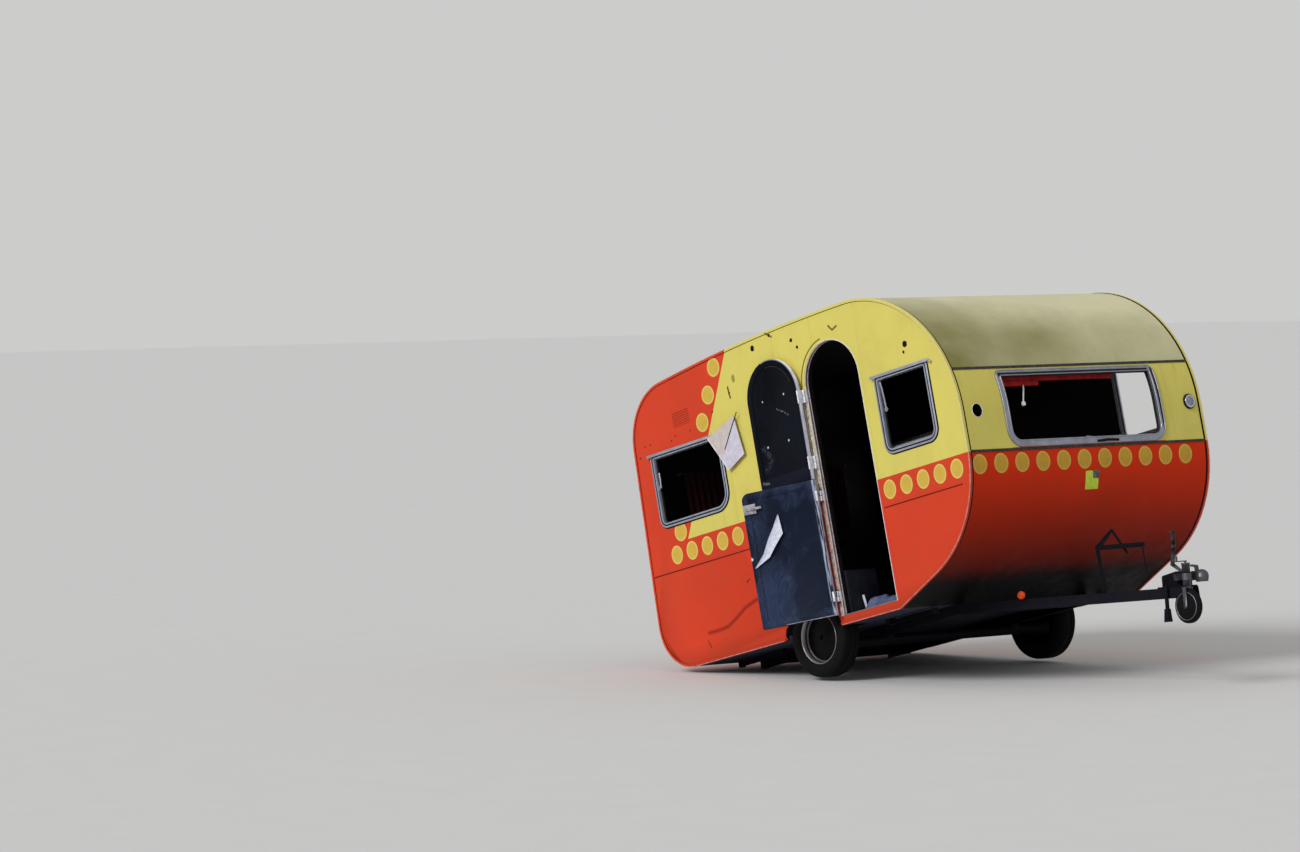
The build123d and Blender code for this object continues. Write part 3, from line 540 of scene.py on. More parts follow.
class Shader:
    """Adds nodes to a material or a node group, one call for each."""

    def __init__(self, tree):
        self.tree = tree

    def node(self, kind, values=(), **settings):
        """A node with its settings, and values or sockets for its inputs by name or number."""
        made = self.tree.nodes.new(kind)
        for key, value in settings.items():
            setattr(made, key, value)
        for key, value in dict(values).items():
            self.feed(value, made.inputs[key])
        return made

    def value(self, kind, values=(), output=0, **settings):
        """What a new node puts out."""
        return Value(self, self.node(kind, values, **settings).outputs[output])

    def feed(self, value, socket):
        """Link a value or a socket, or set a plain value."""
        if isinstance(value, Value):
            value = value.socket
        if isinstance(value, bpy.types.NodeSocket):
            self.tree.links.new(value, socket)
        elif socket.type == "RGBA" and len(value) == 3:
            socket.default_value = (*value, 1)
        else:
            socket.default_value = value

    def give(self, sockets, **values):
        """Feed several sockets by name, with _ for a space."""
        for key, value in values.items():
            self.feed(value, sockets[key.replace("_", " ")])

    def group(self, name, **values):
        """A node group placed here with its inputs, and what it puts out by name."""
        made = self.tree.nodes.new("ShaderNodeGroup")
        made.node_tree = bpy.data.node_groups[name]
        self.give(made.inputs, **values)
        return {socket.name: Value(self, socket) for socket in made.outputs}

    def calc(self, operation, *values):
        """A Math node's result."""
        return self.value("ShaderNodeMath", enumerate(values), operation=operation)

    def folded(self, operation, values):
        """Several values taken together by one operation, two at a time."""
        whole = values[0]
        for value in values[1:]:
            whole = self.calc(operation, whole, value)
        return whole

    def mix(self, factor, first, second, blend="MIX"):
        """Two colours mixed."""
        inputs = {0: factor, 6: first, 7: second}
        return self.value("ShaderNodeMix", inputs, 2, data_type="RGBA", blend_type=blend)

    def tint(self, factor, colour, filtered):
        """The colour seen through a coloured filter, as far as the factor says."""
        return self.mix(factor, colour, self.mix(1.0, colour, filtered, "MULTIPLY"))

    def cover(self, colour, *layers):
        """The colour with layers (mask, colour) laid over it in turn."""
        for mask, over in layers:
            colour = self.mix(mask, colour, over)
        return colour

    def noise(self, vector, scale, detail=3.0, roughness=0.55):
        """Fractal noise, about 0.5."""
        inputs = {"Vector": vector, "Scale": scale, "Detail": detail, "Roughness": roughness}
        return self.value("ShaderNodeTexNoise", inputs, "Fac")

    def ragged(self, vector, scale, detail, width):
        """Noise about 0, to make an edge uneven by up to half a width."""
        return (self.noise(vector, scale, detail) - 0.5) * width

    def split(self, vector):
        """A vector's three parts."""
        parts = self.node("ShaderNodeSeparateXYZ", {0: vector}).outputs
        return [Value(self, socket) for socket in parts]

    def stretch(self, vector, x, y, z):
        """The vector scaled along each axis."""
        return self.value("ShaderNodeMapping", {"Vector": vector, "Scale": (x, y, z)})

    def vector_math(self, operation, first, second, output=0):
        """A Vector Math node's result."""
        return self.value("ShaderNodeVectorMath", {0: first, 1: second}, output, operation=operation)

    def dot(self, first, second):
        """How far two directions agree, above 0 when they are less than a right angle apart."""
        return self.vector_math("DOT_PRODUCT", first, second, "Value")

    def bump(self, height, strength, distance):
        """A normal from a height."""
        inputs = {"Height": height, "Strength": strength, "Distance": distance}
        return self.value("ShaderNodeBump", inputs)

    def level(self, closed=0):
        """Object coordinates in the cabin's level frame, with an open leaf turned back by closed."""
        place = swing(closed) @ UNLEVEL if closed else UNLEVEL
        coordinates = self.value("ShaderNodeTexCoord", output="Object")
        return self.value(
            "ShaderNodeMapping",
            {"Vector": coordinates, "Location": place.to_translation(), "Rotation": place.to_euler()},
        )

    def level_normal(self):
        """The surface's normal in the cabin's level frame."""
        normal = self.value("ShaderNodeTexCoord", output="Normal")
        inputs = {"Vector": normal, "Rotation": UNLEVEL.to_euler()}
        return self.value("ShaderNodeMapping", inputs, vector_type="VECTOR")


def new_group(name, inputs, outputs):
    """A node group: inputs with their defaults, where None is a vector, and outputs by name."""
    tree = bpy.data.node_groups.new(name, "ShaderNodeTree")
    for label, default in inputs.items():
        kind = "Vector" if default is None else "Color" if isinstance(default, tuple) else "Float"
        socket = tree.interface.new_socket(label, in_out="INPUT", socket_type=f"NodeSocket{kind}")
        if default is not None:
            socket.default_value = (*default, 1) if kind == "Color" else default
    for label in outputs:
        kind = "Color" if label == "Color" else "Float"
        tree.interface.new_socket(label, in_out="OUTPUT", socket_type=f"NodeSocket{kind}")
    shader = Shader(tree)
    given = {socket.name: Value(shader, socket) for socket in tree.nodes.new("NodeGroupInput").outputs}
    return shader, given, tree.nodes.new("NodeGroupOutput").inputs


def new_material(name, **constants):
    """A material with a Principled BSDF whose plain values are set on its own sockets."""
    material = bpy.data.materials.new(name)
    material.use_nodes = True
    material.node_tree.nodes.clear()
    shader = Shader(material.node_tree)
    surface = shader.node("ShaderNodeBsdfPrincipled")
    shader.node("ShaderNodeOutputMaterial", {"Surface": surface.outputs[0]})
    shader.give(surface.inputs, **constants)
    return material, shader, surface.inputs


def hypot(across, above):
    """How long the way is that goes so far across and so far up."""
    return across.shader.calc("SQRT", across * across + above * above)


def distance_to(x, z, place):
    """Distance in the side view from a point (x, z)."""
    return hypot(x - place[0], z - place[1])


def near_run(x, z, corners):
    """Distance in the side view from a run of straight strokes between corners (x, z)."""
    gaps = []
    for start, end in zip(corners, corners[1:]):
        way = Vector(end) - Vector(start)
        share = way / way.length_squared
        along = (x - start[0]) * share.x + (z - start[1]) * share.y
        along = x.shader.value("ShaderNodeClamp", {0: along})
        gaps.append(hypot(x - (along * way.x + start[0]), z - (along * way.y + start[1])))
    return x.shader.folded("MINIMUM", gaps)


def spots(x, z, places, ragged, soft=0.003):
    """1 inside any of the spots (x, z, radius), with ragged edges."""
    masks = [(distance_to(x, z, place) + ragged).ramp(place[2], place[2] - soft) for place in places]
    return x.shader.folded("MAXIMUM", masks)


# Node groups that the finishes share


def build_grime():
    """Dust in patches and streaks that run down, over any colour."""
    dirt = (0.05, 0.045, 0.035)
    shader, given, out = new_group(
        "Grime",
        {"Color": (0.5, 0.5, 0.5), "Vector": None, "Dirt": dirt, "Amount": 0.4, "Scale": 3.0},
        ("Color", "Mask"),
    )
    patches = shader.noise(given["Vector"], given["Scale"], 6, 0.65).ramp(0.5, 0.78)
    streaks = shader.noise(shader.stretch(given["Vector"], 14, 14, 0.7), 1.3, 4, 0.6).ramp(0.55, 0.8)
    mask = patches.most(streaks) * given["Amount"]
    shader.give(out, Color=shader.mix(mask, given["Color"], given["Dirt"]), Mask=mask)


def build_rust():
    """Rust that breaks out in spots, with a rough face."""
    shader, given, out = new_group(
        "Rust",
        {"Color": (0.5, 0.5, 0.5), "Vector": None, "Amount": 0.3, "Scale": 12.0},
        ("Color", "Mask"),
    )
    edge = 0.78 - given["Amount"] * 0.4
    mask = shader.noise(given["Vector"], given["Scale"], 8, 0.7).ramp(edge, edge + 0.06)
    rust = shader.mix(shader.noise(given["Vector"], 90, 3), srgb(82, 40, 22), srgb(140, 74, 38))
    shader.give(out, Color=shader.mix(mask, given["Color"], rust), Mask=mask)


def build_scratches():
    """Thin scratches and scuffs as a mask."""
    shader, given, out = new_group("Scratches", {"Vector": None, "Scale": 6.0, "Amount": 0.5}, ("Mask",))
    thin = abs(shader.noise(given["Vector"], given["Scale"], 2) - 0.5).ramp(0.0015, 0.0)
    where = shader.noise(given["Vector"], 2.2, 3).ramp(0.52, 0.62)
    shader.give(out, Mask=thin * where * given["Amount"])


# Rows of dots: start, spacing, first and last limit along the row
DOT_ROWS_SIDE = ((0.872, 0.148, 0.80, 1.54), (-1.131, 0.148, -1.205, 0.275))
DOT_ROW_LEFT = (-1.131, 0.148, -1.205, 1.54)
DOT_ROW_FRONT = (-0.917, 0.1715, -1.0, 0.89)
DOT_HEIGHT = 0.702
DIAGONAL_START = (-0.508, 1.755)
DIAGONAL_WAY = (-0.5159, -0.8567)
DIAGONAL_STEP = 0.179
BELT = 0.778
# The yellow's rear edge leans: x grows by this much for each metre up, from here at the belt
YELLOW_LEAN = 0.5957
YELLOW_FOOT = (-0.999, 0.784)


def build_livery(settings):
    """Two-tone paint with its rows of dots, from level coordinates."""
    shader, given, out = new_group("Livery", {"Vector": None}, ("Color", "Height"))
    vector = given["Vector"]
    x, y, z = shader.split(vector)
    wobble = shader.ragged(vector, 25, 2, 0.003)
    front_drop = (x > 1.45) * 0.012 * (abs(y) < 0.64)
    belt = (z + wobble - front_drop).ramp(BELT - 0.001, BELT + 0.001)
    line = z * -YELLOW_LEAN + (YELLOW_LEAN * YELLOW_FOOT[1] - YELLOW_FOOT[0])
    yellow_where = belt * (x + line + wobble).ramp(-0.001, 0.001)
    on_side = abs(y) > HALF_WIDTH - 0.012
    on_left = y > HALF_WIDTH - 0.012
    above = z - DOT_HEIGHT
    # The dots are a little narrow on the sides, and nearly round on the nose
    rows = [(x, row, 1.09, on_side - on_left) for row in DOT_ROWS_SIDE]
    rows += [(x, DOT_ROW_LEFT, 1.09, on_left), (y, DOT_ROW_FRONT, 1.02, x > FRONT_FACE)]
    gaps = []
    for place, (start, step, low, high), narrow, where in rows:
        along = (place - start).wrap(step) * narrow
        gaps.append(hypot(along, above) + (1 - place.within(low, high) * where))
    from_x, from_z = x - DIAGONAL_START[0], z - DIAGONAL_START[1]
    run = from_x * DIAGONAL_WAY[0] + from_z * DIAGONAL_WAY[1]
    off = from_x * DIAGONAL_WAY[1] - from_z * DIAGONAL_WAY[0]
    inside = run.within(-0.09, 6.5 * DIAGONAL_STEP) * on_side
    gaps.append(hypot(run.wrap(DIAGONAL_STEP), off) + (1 - inside))
    nearest = shader.folded("MINIMUM", gaps)
    radius = settings.dot_diameter / 2
    dot = nearest.ramp(radius + 0.001, radius - 0.001)
    rim = nearest.ramp(radius - 0.014, radius - 0.005, 0, 0.7)
    mottle = shader.noise(vector, 40, 4, 0.7).ramp(0.35, 0.65)
    gold = shader.mix(mottle, settings.dot_gold, scaled(settings.dot_gold, 0.9))
    fade = shader.noise(vector, 1.7, 4).ramp(0.35, 0.7)
    orange = shader.mix(fade, settings.orange, scaled(settings.orange, 0.9))
    yellow = shader.mix(fade, settings.yellow, scaled(settings.yellow, 0.92))
    dots = shader.mix(rim, gold, settings.dot_cream)
    colour = shader.cover(orange, (yellow_where, yellow), (dot, dots))
    shader.give(out, Color=colour, Height=(yellow_where + dot) * 0.5)


# Marks on the right wall: holes and rust spots (x, z, radius), a worn oval (x, z), strokes with
# their half width, the long crease's corners and those of the short one below its rear end
HOLES = (
    (0.233, 1.754, 0.014),
    (0.277, 1.702, 0.012),
    (1.209, 1.506, 0.021),
    (1.188, 1.462, 0.011),
    (-0.124, 1.786, 0.019),
    (0.045, 1.828, 0.011),
    (-0.584, 1.491, 0.008),
)
RUST_SPOTS = (
    (-0.817, 1.425, 0.008),
    (-0.964, 1.421, 0.008),
    (-1.265, 1.416, 0.008),
    (-1.327, 1.356, 0.009),
    (-0.402, 1.572, 0.009),
    (-1.006, 1.401, 0.009),
    (-1.214, 1.416, 0.008),
    (-0.524, 0.413, 0.008),
    (-0.512, 0.419, 0.008),
    (-0.500, 0.425, 0.007),
)
SCUFF = (-0.343, 1.647)
STROKES = (
    (((0.581, 1.762), (0.609, 1.731), (0.650, 1.746)), 0.008),
    (((0.018, 1.846), (0.040, 1.828), (0.064, 1.816)), 0.008),
    (((-0.406, 1.606), (-0.404, 1.575), (-0.398, 1.539)), 0.009),
)
CREASE = (
    (-0.951, 0.174),
    (-0.850, 0.172),
    (-0.760, 0.180),
    (-0.660, 0.222),
    (-0.578, 0.262),
    (-0.462, 0.290),
)
CREASE_END = ((-0.952, 0.082), (-0.970, 0.124))
# The vent of slits: x and z of its upper rear corner, length, height, slope and number of slits
VENT = (-0.967, 1.556, 0.160, 0.086, -0.04, 6)
# The hole of the missing lamp in the nose (y, z)
LAMP_HOLE = (-0.871, 1.020)


def build_marks():
    """Holes, rust spots, strokes, the vent and the creases in the right wall, as masks."""
    shader, given, out = new_group("Wall marks", {"Vector": None}, ("Holes", "Spots", "Crease", "Slits"))
    x, y, z = shader.split(given["Vector"])
    right = y < -0.9
    ragged = shader.ragged(given["Vector"], 90, 3, 0.012)
    scuff = hypot(x - SCUFF[0], (z - SCUFF[1]) * 0.62) + ragged
    holes = [spots(x, z, HOLES, ragged), scuff.ramp(0.018, 0.012, 0, 0.55)]
    for corners, half in STROKES:
        holes.append((near_run(x, z, corners) + ragged).ramp(half, half - 0.004, 0, 0.8))
    crease = near_run(x, z, CREASE).ramp(0.019, 0.0)
    crease_end = near_run(x, z, CREASE_END).ramp(0.010, 0.0)
    start_x, start_z, length, height, slope, slits = VENT
    step = height / slits
    along = x - start_x
    down = start_z - (along * slope + z)
    slit = abs(down.wrap(step)).ramp(0.0045, 0.0025) * along.within(0, length)
    shader.give(
        out,
        Holes=shader.folded("MAXIMUM", holes) * right,
        Spots=spots(x, z, RUST_SPOTS, ragged) * right,
        Crease=crease.most(crease_end) * right,
        Slits=slit * down.within(-step / 2, height) * right,
    )


# Finishes


def painted(name, settings, wall=False, roof=False):
    """Body paint outside and dark lining inside, with painted shade in the openings: dark reveals and a
    dark wall round the lamp's hole.
    """
    material, shader, inputs = new_material(name, Specular_IOR_Level=0.08)
    vector, normal = shader.level(), shader.level_normal()
    x, y, z = shader.split(vector)
    wide = abs(y)
    nose = (wide < 0.985) * (x > 0.75)
    if roof:
        # The roof's own stains in streaks, darker towards the right side; painted light too: a sheen that
        # makes it lighter towards the top, and shade that darkens it lower down.
        stain_and_shade = shader.noise(shader.stretch(vector, 1.5, 1.0, 1.5), 1.3, 4, 0.5).ramp(0.35, 0.7, 0, 0.38)
        stain_and_shade = stain_and_shade + y.ramp(0.5, -0.95, 0, 0.6) + z.ramp(1.50, 1.82, 0.2, -0.5)
        colour, height = shader.mix(stain_and_shade, settings.roof_cream, settings.roof_stain), 0.0
    else:
        livery = shader.group("Livery", Vector=vector)
        colour, height = livery["Color"], livery["Height"]
    amount = 0.14 if roof else 0.16
    grime = shader.group("Grime", Color=colour, Vector=vector, Dirt=srgb(96, 84, 52), Amount=amount)
    colour = shader.mix(z.ramp(0.13, 0.02, 0, 0.25), grime["Color"], srgb(70, 40, 28))
    # The nose is lit less than the sides: a redder orange, duller dots and shade under the belly
    under_belt = nose * (z < 0.785)
    if not roof:
        on_dot = under_belt * (height > 0.25)
        colour = shader.tint(on_dot, colour, (0.92, 0.80, 0.62))
        under_belt = under_belt - on_dot
    colour = shader.tint(under_belt, colour, (1.03, 0.58, 0.16))
    shade = shader.calc("POWER", z.ramp(0.75, 0.10), 1.5) * (nose * 0.97)
    edge = shader.noise(vector, 5, 4).ramp(0.3, 0.7, -0.012, 0.012)
    marks = shader.group("Wall marks", Vector=vector)
    lining = shader.mix(shader.noise(vector, 9, 4), srgb(12, 10, 10), srgb(24, 20, 19))
    colour = shader.cover(
        colour,
        (shade, srgb(40, 5, 1)),
        ((z + edge).ramp(0.150, 0.085) * nose, srgb(6, 6, 9)),
        (shader.group("Scratches", Vector=vector, Amount=0.3)["Mask"], srgb(120, 92, 60)),
        (marks["Spots"], srgb(110, 42, 30)),
        (marks["Crease"] * 0.75, srgb(112, 26, 20)),
        (marks["Slits"] * 0.6, srgb(128, 30, 20)),
        (marks["Holes"], srgb(14, 12, 12)),
    )
    # Faces that look out from the cabin's middle are outside
    outwards = shader.vector_math("SUBTRACT", vector, (0.05, 0, 0.9))
    colour = shader.mix(shader.dot(normal, outwards) > 0.0, lining, colour)
    if wall:
        # The reveals of the openings in the side walls are painted near black as shade in the recess.
        wall_reveal_shade = (abs(shader.split(normal)[1]) < 0.5) * wide.within(0.9725, 0.9975)
        colour = shader.mix(wall_reveal_shade, colour, srgb(15, 13, 14))
    elif not roof:
        # The cut wall of the lamp's hole is painted dark as shade inside the hole.
        hole = distance_to(y, z, LAMP_HOLE).ramp(0.0412, 0.0408) * (x > FRONT_FACE)
        colour = shader.mix(hole, colour, srgb(12, 10, 10))
    rough = shader.noise(vector, 11, 4).ramp(0.3, 0.7, 0.42, 0.6).most(grime["Mask"] * 0.9)
    dents = height * 0.02 + marks["Crease"] * -0.3 + marks["Holes"] * -0.3 + marks["Slits"] * -0.15
    relief = shader.noise(vector, 2.4, 2) + shader.noise(vector, 140, 3) * 0.02 + dents
    shader.give(inputs, Base_Color=colour, Roughness=rough, Normal=shader.bump(relief, 0.6, 0.02))
    return material


def metal_finish(name, colour, rough, dirt, rust=0.0, scale=3.0, metallic=1.0, dark=None):
    """Weathered metal: brushed tone, grime, rust and, if asked, a mask of painted shade that makes it dark.
    """
    level = 0.5 if metallic else 0.08
    material, shader, inputs = new_material(name, Specular_IOR_Level=level)
    vector = shader.level()
    tone = shader.noise(vector, 18, 4).ramp(0.3, 0.7, 0.82, 1.08)
    grey = shader.value("ShaderNodeCombineColor", {0: tone, 1: tone, 2: tone})
    base = shader.mix(1.0, colour, grey, "MULTIPLY")
    grime = shader.group(
        "Grime", Color=base, Vector=vector, Amount=dirt, Scale=scale, Dirt=srgb(44, 41, 37)
    )
    rusty = shader.group("Rust", Color=grime["Color"], Vector=vector, Amount=rust)
    colour, dull = rusty["Color"], grime["Mask"].most(rusty["Mask"])
    # Painted shade: the metal is near black where the mask says.
    if dark:
        in_shade = dark(*shader.split(vector))
        colour, dull = shader.mix(in_shade, colour, srgb(13, 13, 15)), dull.most(in_shade)
    relief = rusty["Mask"] * 0.5 + shader.noise(vector, 70, 4)
    shader.give(
        inputs,
        Base_Color=colour,
        Roughness=dull.ramp(0, 1, rough, 0.85),
        Normal=shader.bump(relief, 0.35, 0.002),
        Metallic=(1 - dull) * metallic,
    )
    return material


def window_reveal_shade(x, y, z):
    """1 behind the face of the side walls, where the window reveals are painted dark as shade."""
    return abs(y).ramp(0.994, 0.988)


def end_frame_shade(x, y, z):
    """1 where the end windows' frames are painted dark as shade: the gap down their far side, a line under
    their top, and their reveals.
    """
    up_from = z - 1.02
    band = (up_from * 0.02 + y).within(0.636, 0.652) * z.within(0.83, 1.245)
    top = z.within(1.217, 1.243) * y.within(-0.64, 0.612)
    above = up_from.most(0)
    deep = (x < above * above * -0.588 + 1.577) * (x > z * 0.0314 - 1.413)
    return band.most(top).most(deep)


def plain_finish(name, colour, second, rough, scale, dirt):
    """A dull surface of two tones with dust and a fine grain."""
    material, shader, inputs = new_material(name, Specular_IOR_Level=0.1)
    vector = shader.level()
    grain = shader.noise(vector, scale, 5, 0.6)
    base = shader.mix(grain.ramp(0.35, 0.65), colour, second)
    dust = [channel * 0.6 + 0.02 for channel in second]
    grime = shader.group("Grime", Color=base, Vector=vector, Amount=dirt, Dirt=dust)
    roughness = grain.ramp(0.3, 0.7, rough - 0.08, rough + 0.1)
    normal = shader.bump(grain, 0.3, 0.002)
    shader.give(inputs, Base_Color=grime["Color"], Roughness=roughness, Normal=normal)
    return material


def trim_finish(name):
    """The doorway's trim: body paint over the arch and bare, rusting metal down the hinge side."""
    material, shader, inputs = new_material(name, Specular_IOR_Level=0.25)
    vector = shader.level()
    x, _, z = shader.split(vector)
    livery = shader.group("Livery", Vector=vector)["Color"]
    fine = shader.noise(vector, 40, 4, 0.6)
    bare = shader.mix(fine.ramp(0.4, 0.6), srgb(226, 216, 208), srgb(168, 156, 154))
    rusty = shader.group("Rust", Color=bare, Vector=vector, Amount=0.5, Scale=22.0)["Color"]
    hinges = distance_to(x, z, (0.26, 0.785)).least(distance_to(x, z, (0.26, 0.165)))
    patch = (hinges + fine * 0.04).ramp(0.085, 0.05)
    bare_where = (x < 0.31) * (z + (fine - 0.5) * 0.25).ramp(1.42, 1.36)
    colour = shader.mix(bare_where, livery, shader.mix(patch, rusty, srgb(92, 34, 26)))
    roughness = fine.ramp(0.3, 0.7, 0.45, 0.65)
    shader.give(inputs, Base_Color=colour, Roughness=roughness, Normal=shader.bump(fine, 0.4, 0.002))
    return material


def bead_finish(name):
    """The bead round the body's edges: its paint, pale in patches, partly worn down to pale metal and
    partly a painted highlight along the edge.
    """
    material, shader, inputs = new_material(name, Specular_IOR_Level=0.15)
    vector = shader.level()
    livery = shader.group("Livery", Vector=vector)["Color"]
    # The pale patches stand for wear and for a painted highlight on the bead's edge.
    worn = shader.noise(vector, 30, 4, 0.6).ramp(0.35, 0.6, 0.25, 0.85)
    colour = shader.mix(worn, livery, srgb(212, 204, 198))
    shader.give(inputs, Base_Color=colour, Roughness=worn.ramp(0, 1, 0.5, 0.7))
    return material


def pane_finish(name):
    """The torn pane: beige behind its stay and pale lavender in front of it."""
    material, shader, inputs = new_material(name, Specular_IOR_Level=0.2)
    vector = shader.level()
    x, _, z = shader.split(vector)
    grain = shader.noise(vector, 30, 5, 0.6)
    tone = grain.ramp(0.35, 0.65)
    aft = shader.mix(tone, srgb(200, 189, 184), srgb(184, 174, 171))
    fore = shader.mix(tone, srgb(204, 200, 212), srgb(186, 182, 198))
    colour = shader.mix((x + (z * -0.805 + 1.489)).ramp(-0.002, 0.002), aft, fore)
    shader.give(inputs, Base_Color=colour, Roughness=0.55, Normal=shader.bump(grain, 0.25, 0.002))
    return material


# Marks inside the upper leaf, closed: white specks (x, z, radius), scratches and a grey wisp
LEAF_SPECKS = (
    (0.428, 1.444, 0.0075),
    (0.633, 1.440, 0.006),
    (0.450, 1.164, 0.0075),
    (0.652, 1.161, 0.007),
    (0.740, 0.954, 0.010),
    (0.722, 0.949, 0.011),
    (0.700, 0.946, 0.009),
)
LEAF_SCRATCHES = ((0.512, 1.370), (0.479, 1.352), (0.450, 1.337), (0.414, 1.313))
LEAF_WISP = ((0.692, 1.163), (0.660, 1.121), (0.637, 1.082), (0.691, 1.030))
# A chip inside the lower leaf, closed (x, z)
LEAF_CHIP = (0.769, 0.486)


def lining_finish(name, colour, second, body, swirl, torn_share, border):
    """A leaf: creased dark lining inside, edges pale towards the hinges, body paint outside."""
    material, shader, inputs = new_material(name, Specular_IOR_Level=0.05)
    angle = OPEN_ANGLES[body]
    vector, normal = shader.level(), shader.level_normal()
    closed = shader.level(angle)
    x, _, z = shader.split(closed)
    bent = shader.vector_math("ADD", vector, shader.noise(vector, 3.0, 2) * swirl)
    creases = shader.noise(shader.stretch(bent, 1.0, 1.0, 0.7), 3.5, 5, 0.6)
    fine = shader.noise(vector, 60, 4)
    ragged = shader.ragged(vector, 120, 3, 0.008)
    inner = shader.mix(creases.ramp(0.42, 0.62), colour, second)
    if body == "upper_door":
        broken = shader.noise(vector, 70, 2).ramp(0.45, 0.55)
        across = x - DOOR_MIDDLE
        rim = hypot(across, (z - DOOR_SPRING).most(0)).ramp(0.2315, 0.2335, 0, 0.7)
        inner = shader.cover(
            inner,
            (spots(x, z, LEAF_SPECKS, ragged, 0.002), srgb(196, 196, 200)),
            (near_run(x, z, LEAF_SCRATCHES).ramp(0.006, 0.002) * broken, srgb(110, 112, 122)),
            (near_run(x, z, LEAF_WISP).ramp(0.030, 0.0, 0, 0.8) * fine.ramp(0.4, 0.6), srgb(58, 62, 74)),
            (z.ramp(0.976, 0.970, 0, 0.8), srgb(19, 24, 38)),
            # A painted highlight: a thin pale line round the leaf's recess, towards the hinge side.
            (rim * (across < 0.06), srgb(150, 156, 178)),
        )
    else:
        rings = shader.noise(shader.stretch(bent, 1.0, 1.0, 0.55), 4.2, 2, 0.5)
        lines = shader.calc("SINE", rings * 130).ramp(0.3, 1.0, 0, 0.55) * creases.ramp(0.40, 0.60)
        streak = shader.noise(shader.stretch(vector, 1, 1, 0.05), 150, 3, 0.6)
        chip = distance_to(x, z, LEAF_CHIP) + ragged
        inner = shader.cover(
            inner,
            (lines, scaled(second, 1.5)),
            (streak.ramp(0.46, 0.56, 0, 0.8) * x.ramp(0.322, 0.314), srgb(176, 184, 206)),
            (chip.ramp(0.012, 0.008), srgb(206, 208, 220)),
        )
    sine, cosine = math.sin(math.radians(-angle)), math.cos(math.radians(-angle))
    outwards = shader.dot(normal, (sine, -cosine, 0))
    hingewards = shader.dot(normal, (-cosine, -sine, 0))
    torn = shader.noise(shader.stretch(vector, 1, 1, 0.4), 30, 5).ramp(0.50, 0.60) * torn_share
    pale = shader.mix(torn, srgb(236, 238, 252), srgb(120, 120, 136))
    edge = shader.mix(hingewards.ramp(*border) * (x < DOOR_MIDDLE), shader.mix(0.5, colour, second), pale)
    livery = shader.group("Livery", Vector=closed)["Color"]
    shader.give(
        inputs,
        Base_Color=shader.cover(edge, (outwards < -0.5, inner), (outwards > 0.5, livery)),
        Roughness=creases.ramp(0.35, 0.7, 0.42, 0.62),
        Normal=shader.bump(fine * 0.1 + creases, 0.5, 0.012),
    )
    return material


MATERIALS = {}

# Key, name, colour, roughness, dirt, then rust, fineness of the dirt, metallic and a mask of painted shade
METALS = (
    ("aluminium", "Dull aluminium", (192, 198, 214), 0.4, 0.35, 0.0, 3.0, 1.0, window_reveal_shade),
    # The end frames' aluminium is a darker copy of the side frames': painted shade.
    ("end_frame", "End frame aluminium", (168, 173, 190), 0.4, 0.35, 0.0, 3.0, 1.0, end_frame_shade),
    ("silver", "Lamp silver", (216, 218, 224), 0.3, 0.15),
    ("edging", "Worn aluminium edging", (172, 172, 178), 0.4, 0.4),
    ("bright", "Worn plating", (160, 160, 162), 0.35, 0.4, 0.3, 9),
    ("dull_steel", "Grimy steel", (104, 104, 110), 0.45, 0.7, 0.45, 12),
    ("chassis", "Chassis black", (15, 16, 25), 0.6, 0.2, 0.2, 5, 0.0),
    # The rims' disc is near black as painted shade inside the wheel.
    ("wheel", "Wheel black", (8, 8, 10), 0.5, 0.2, 0.2, 8, 0.0),
)

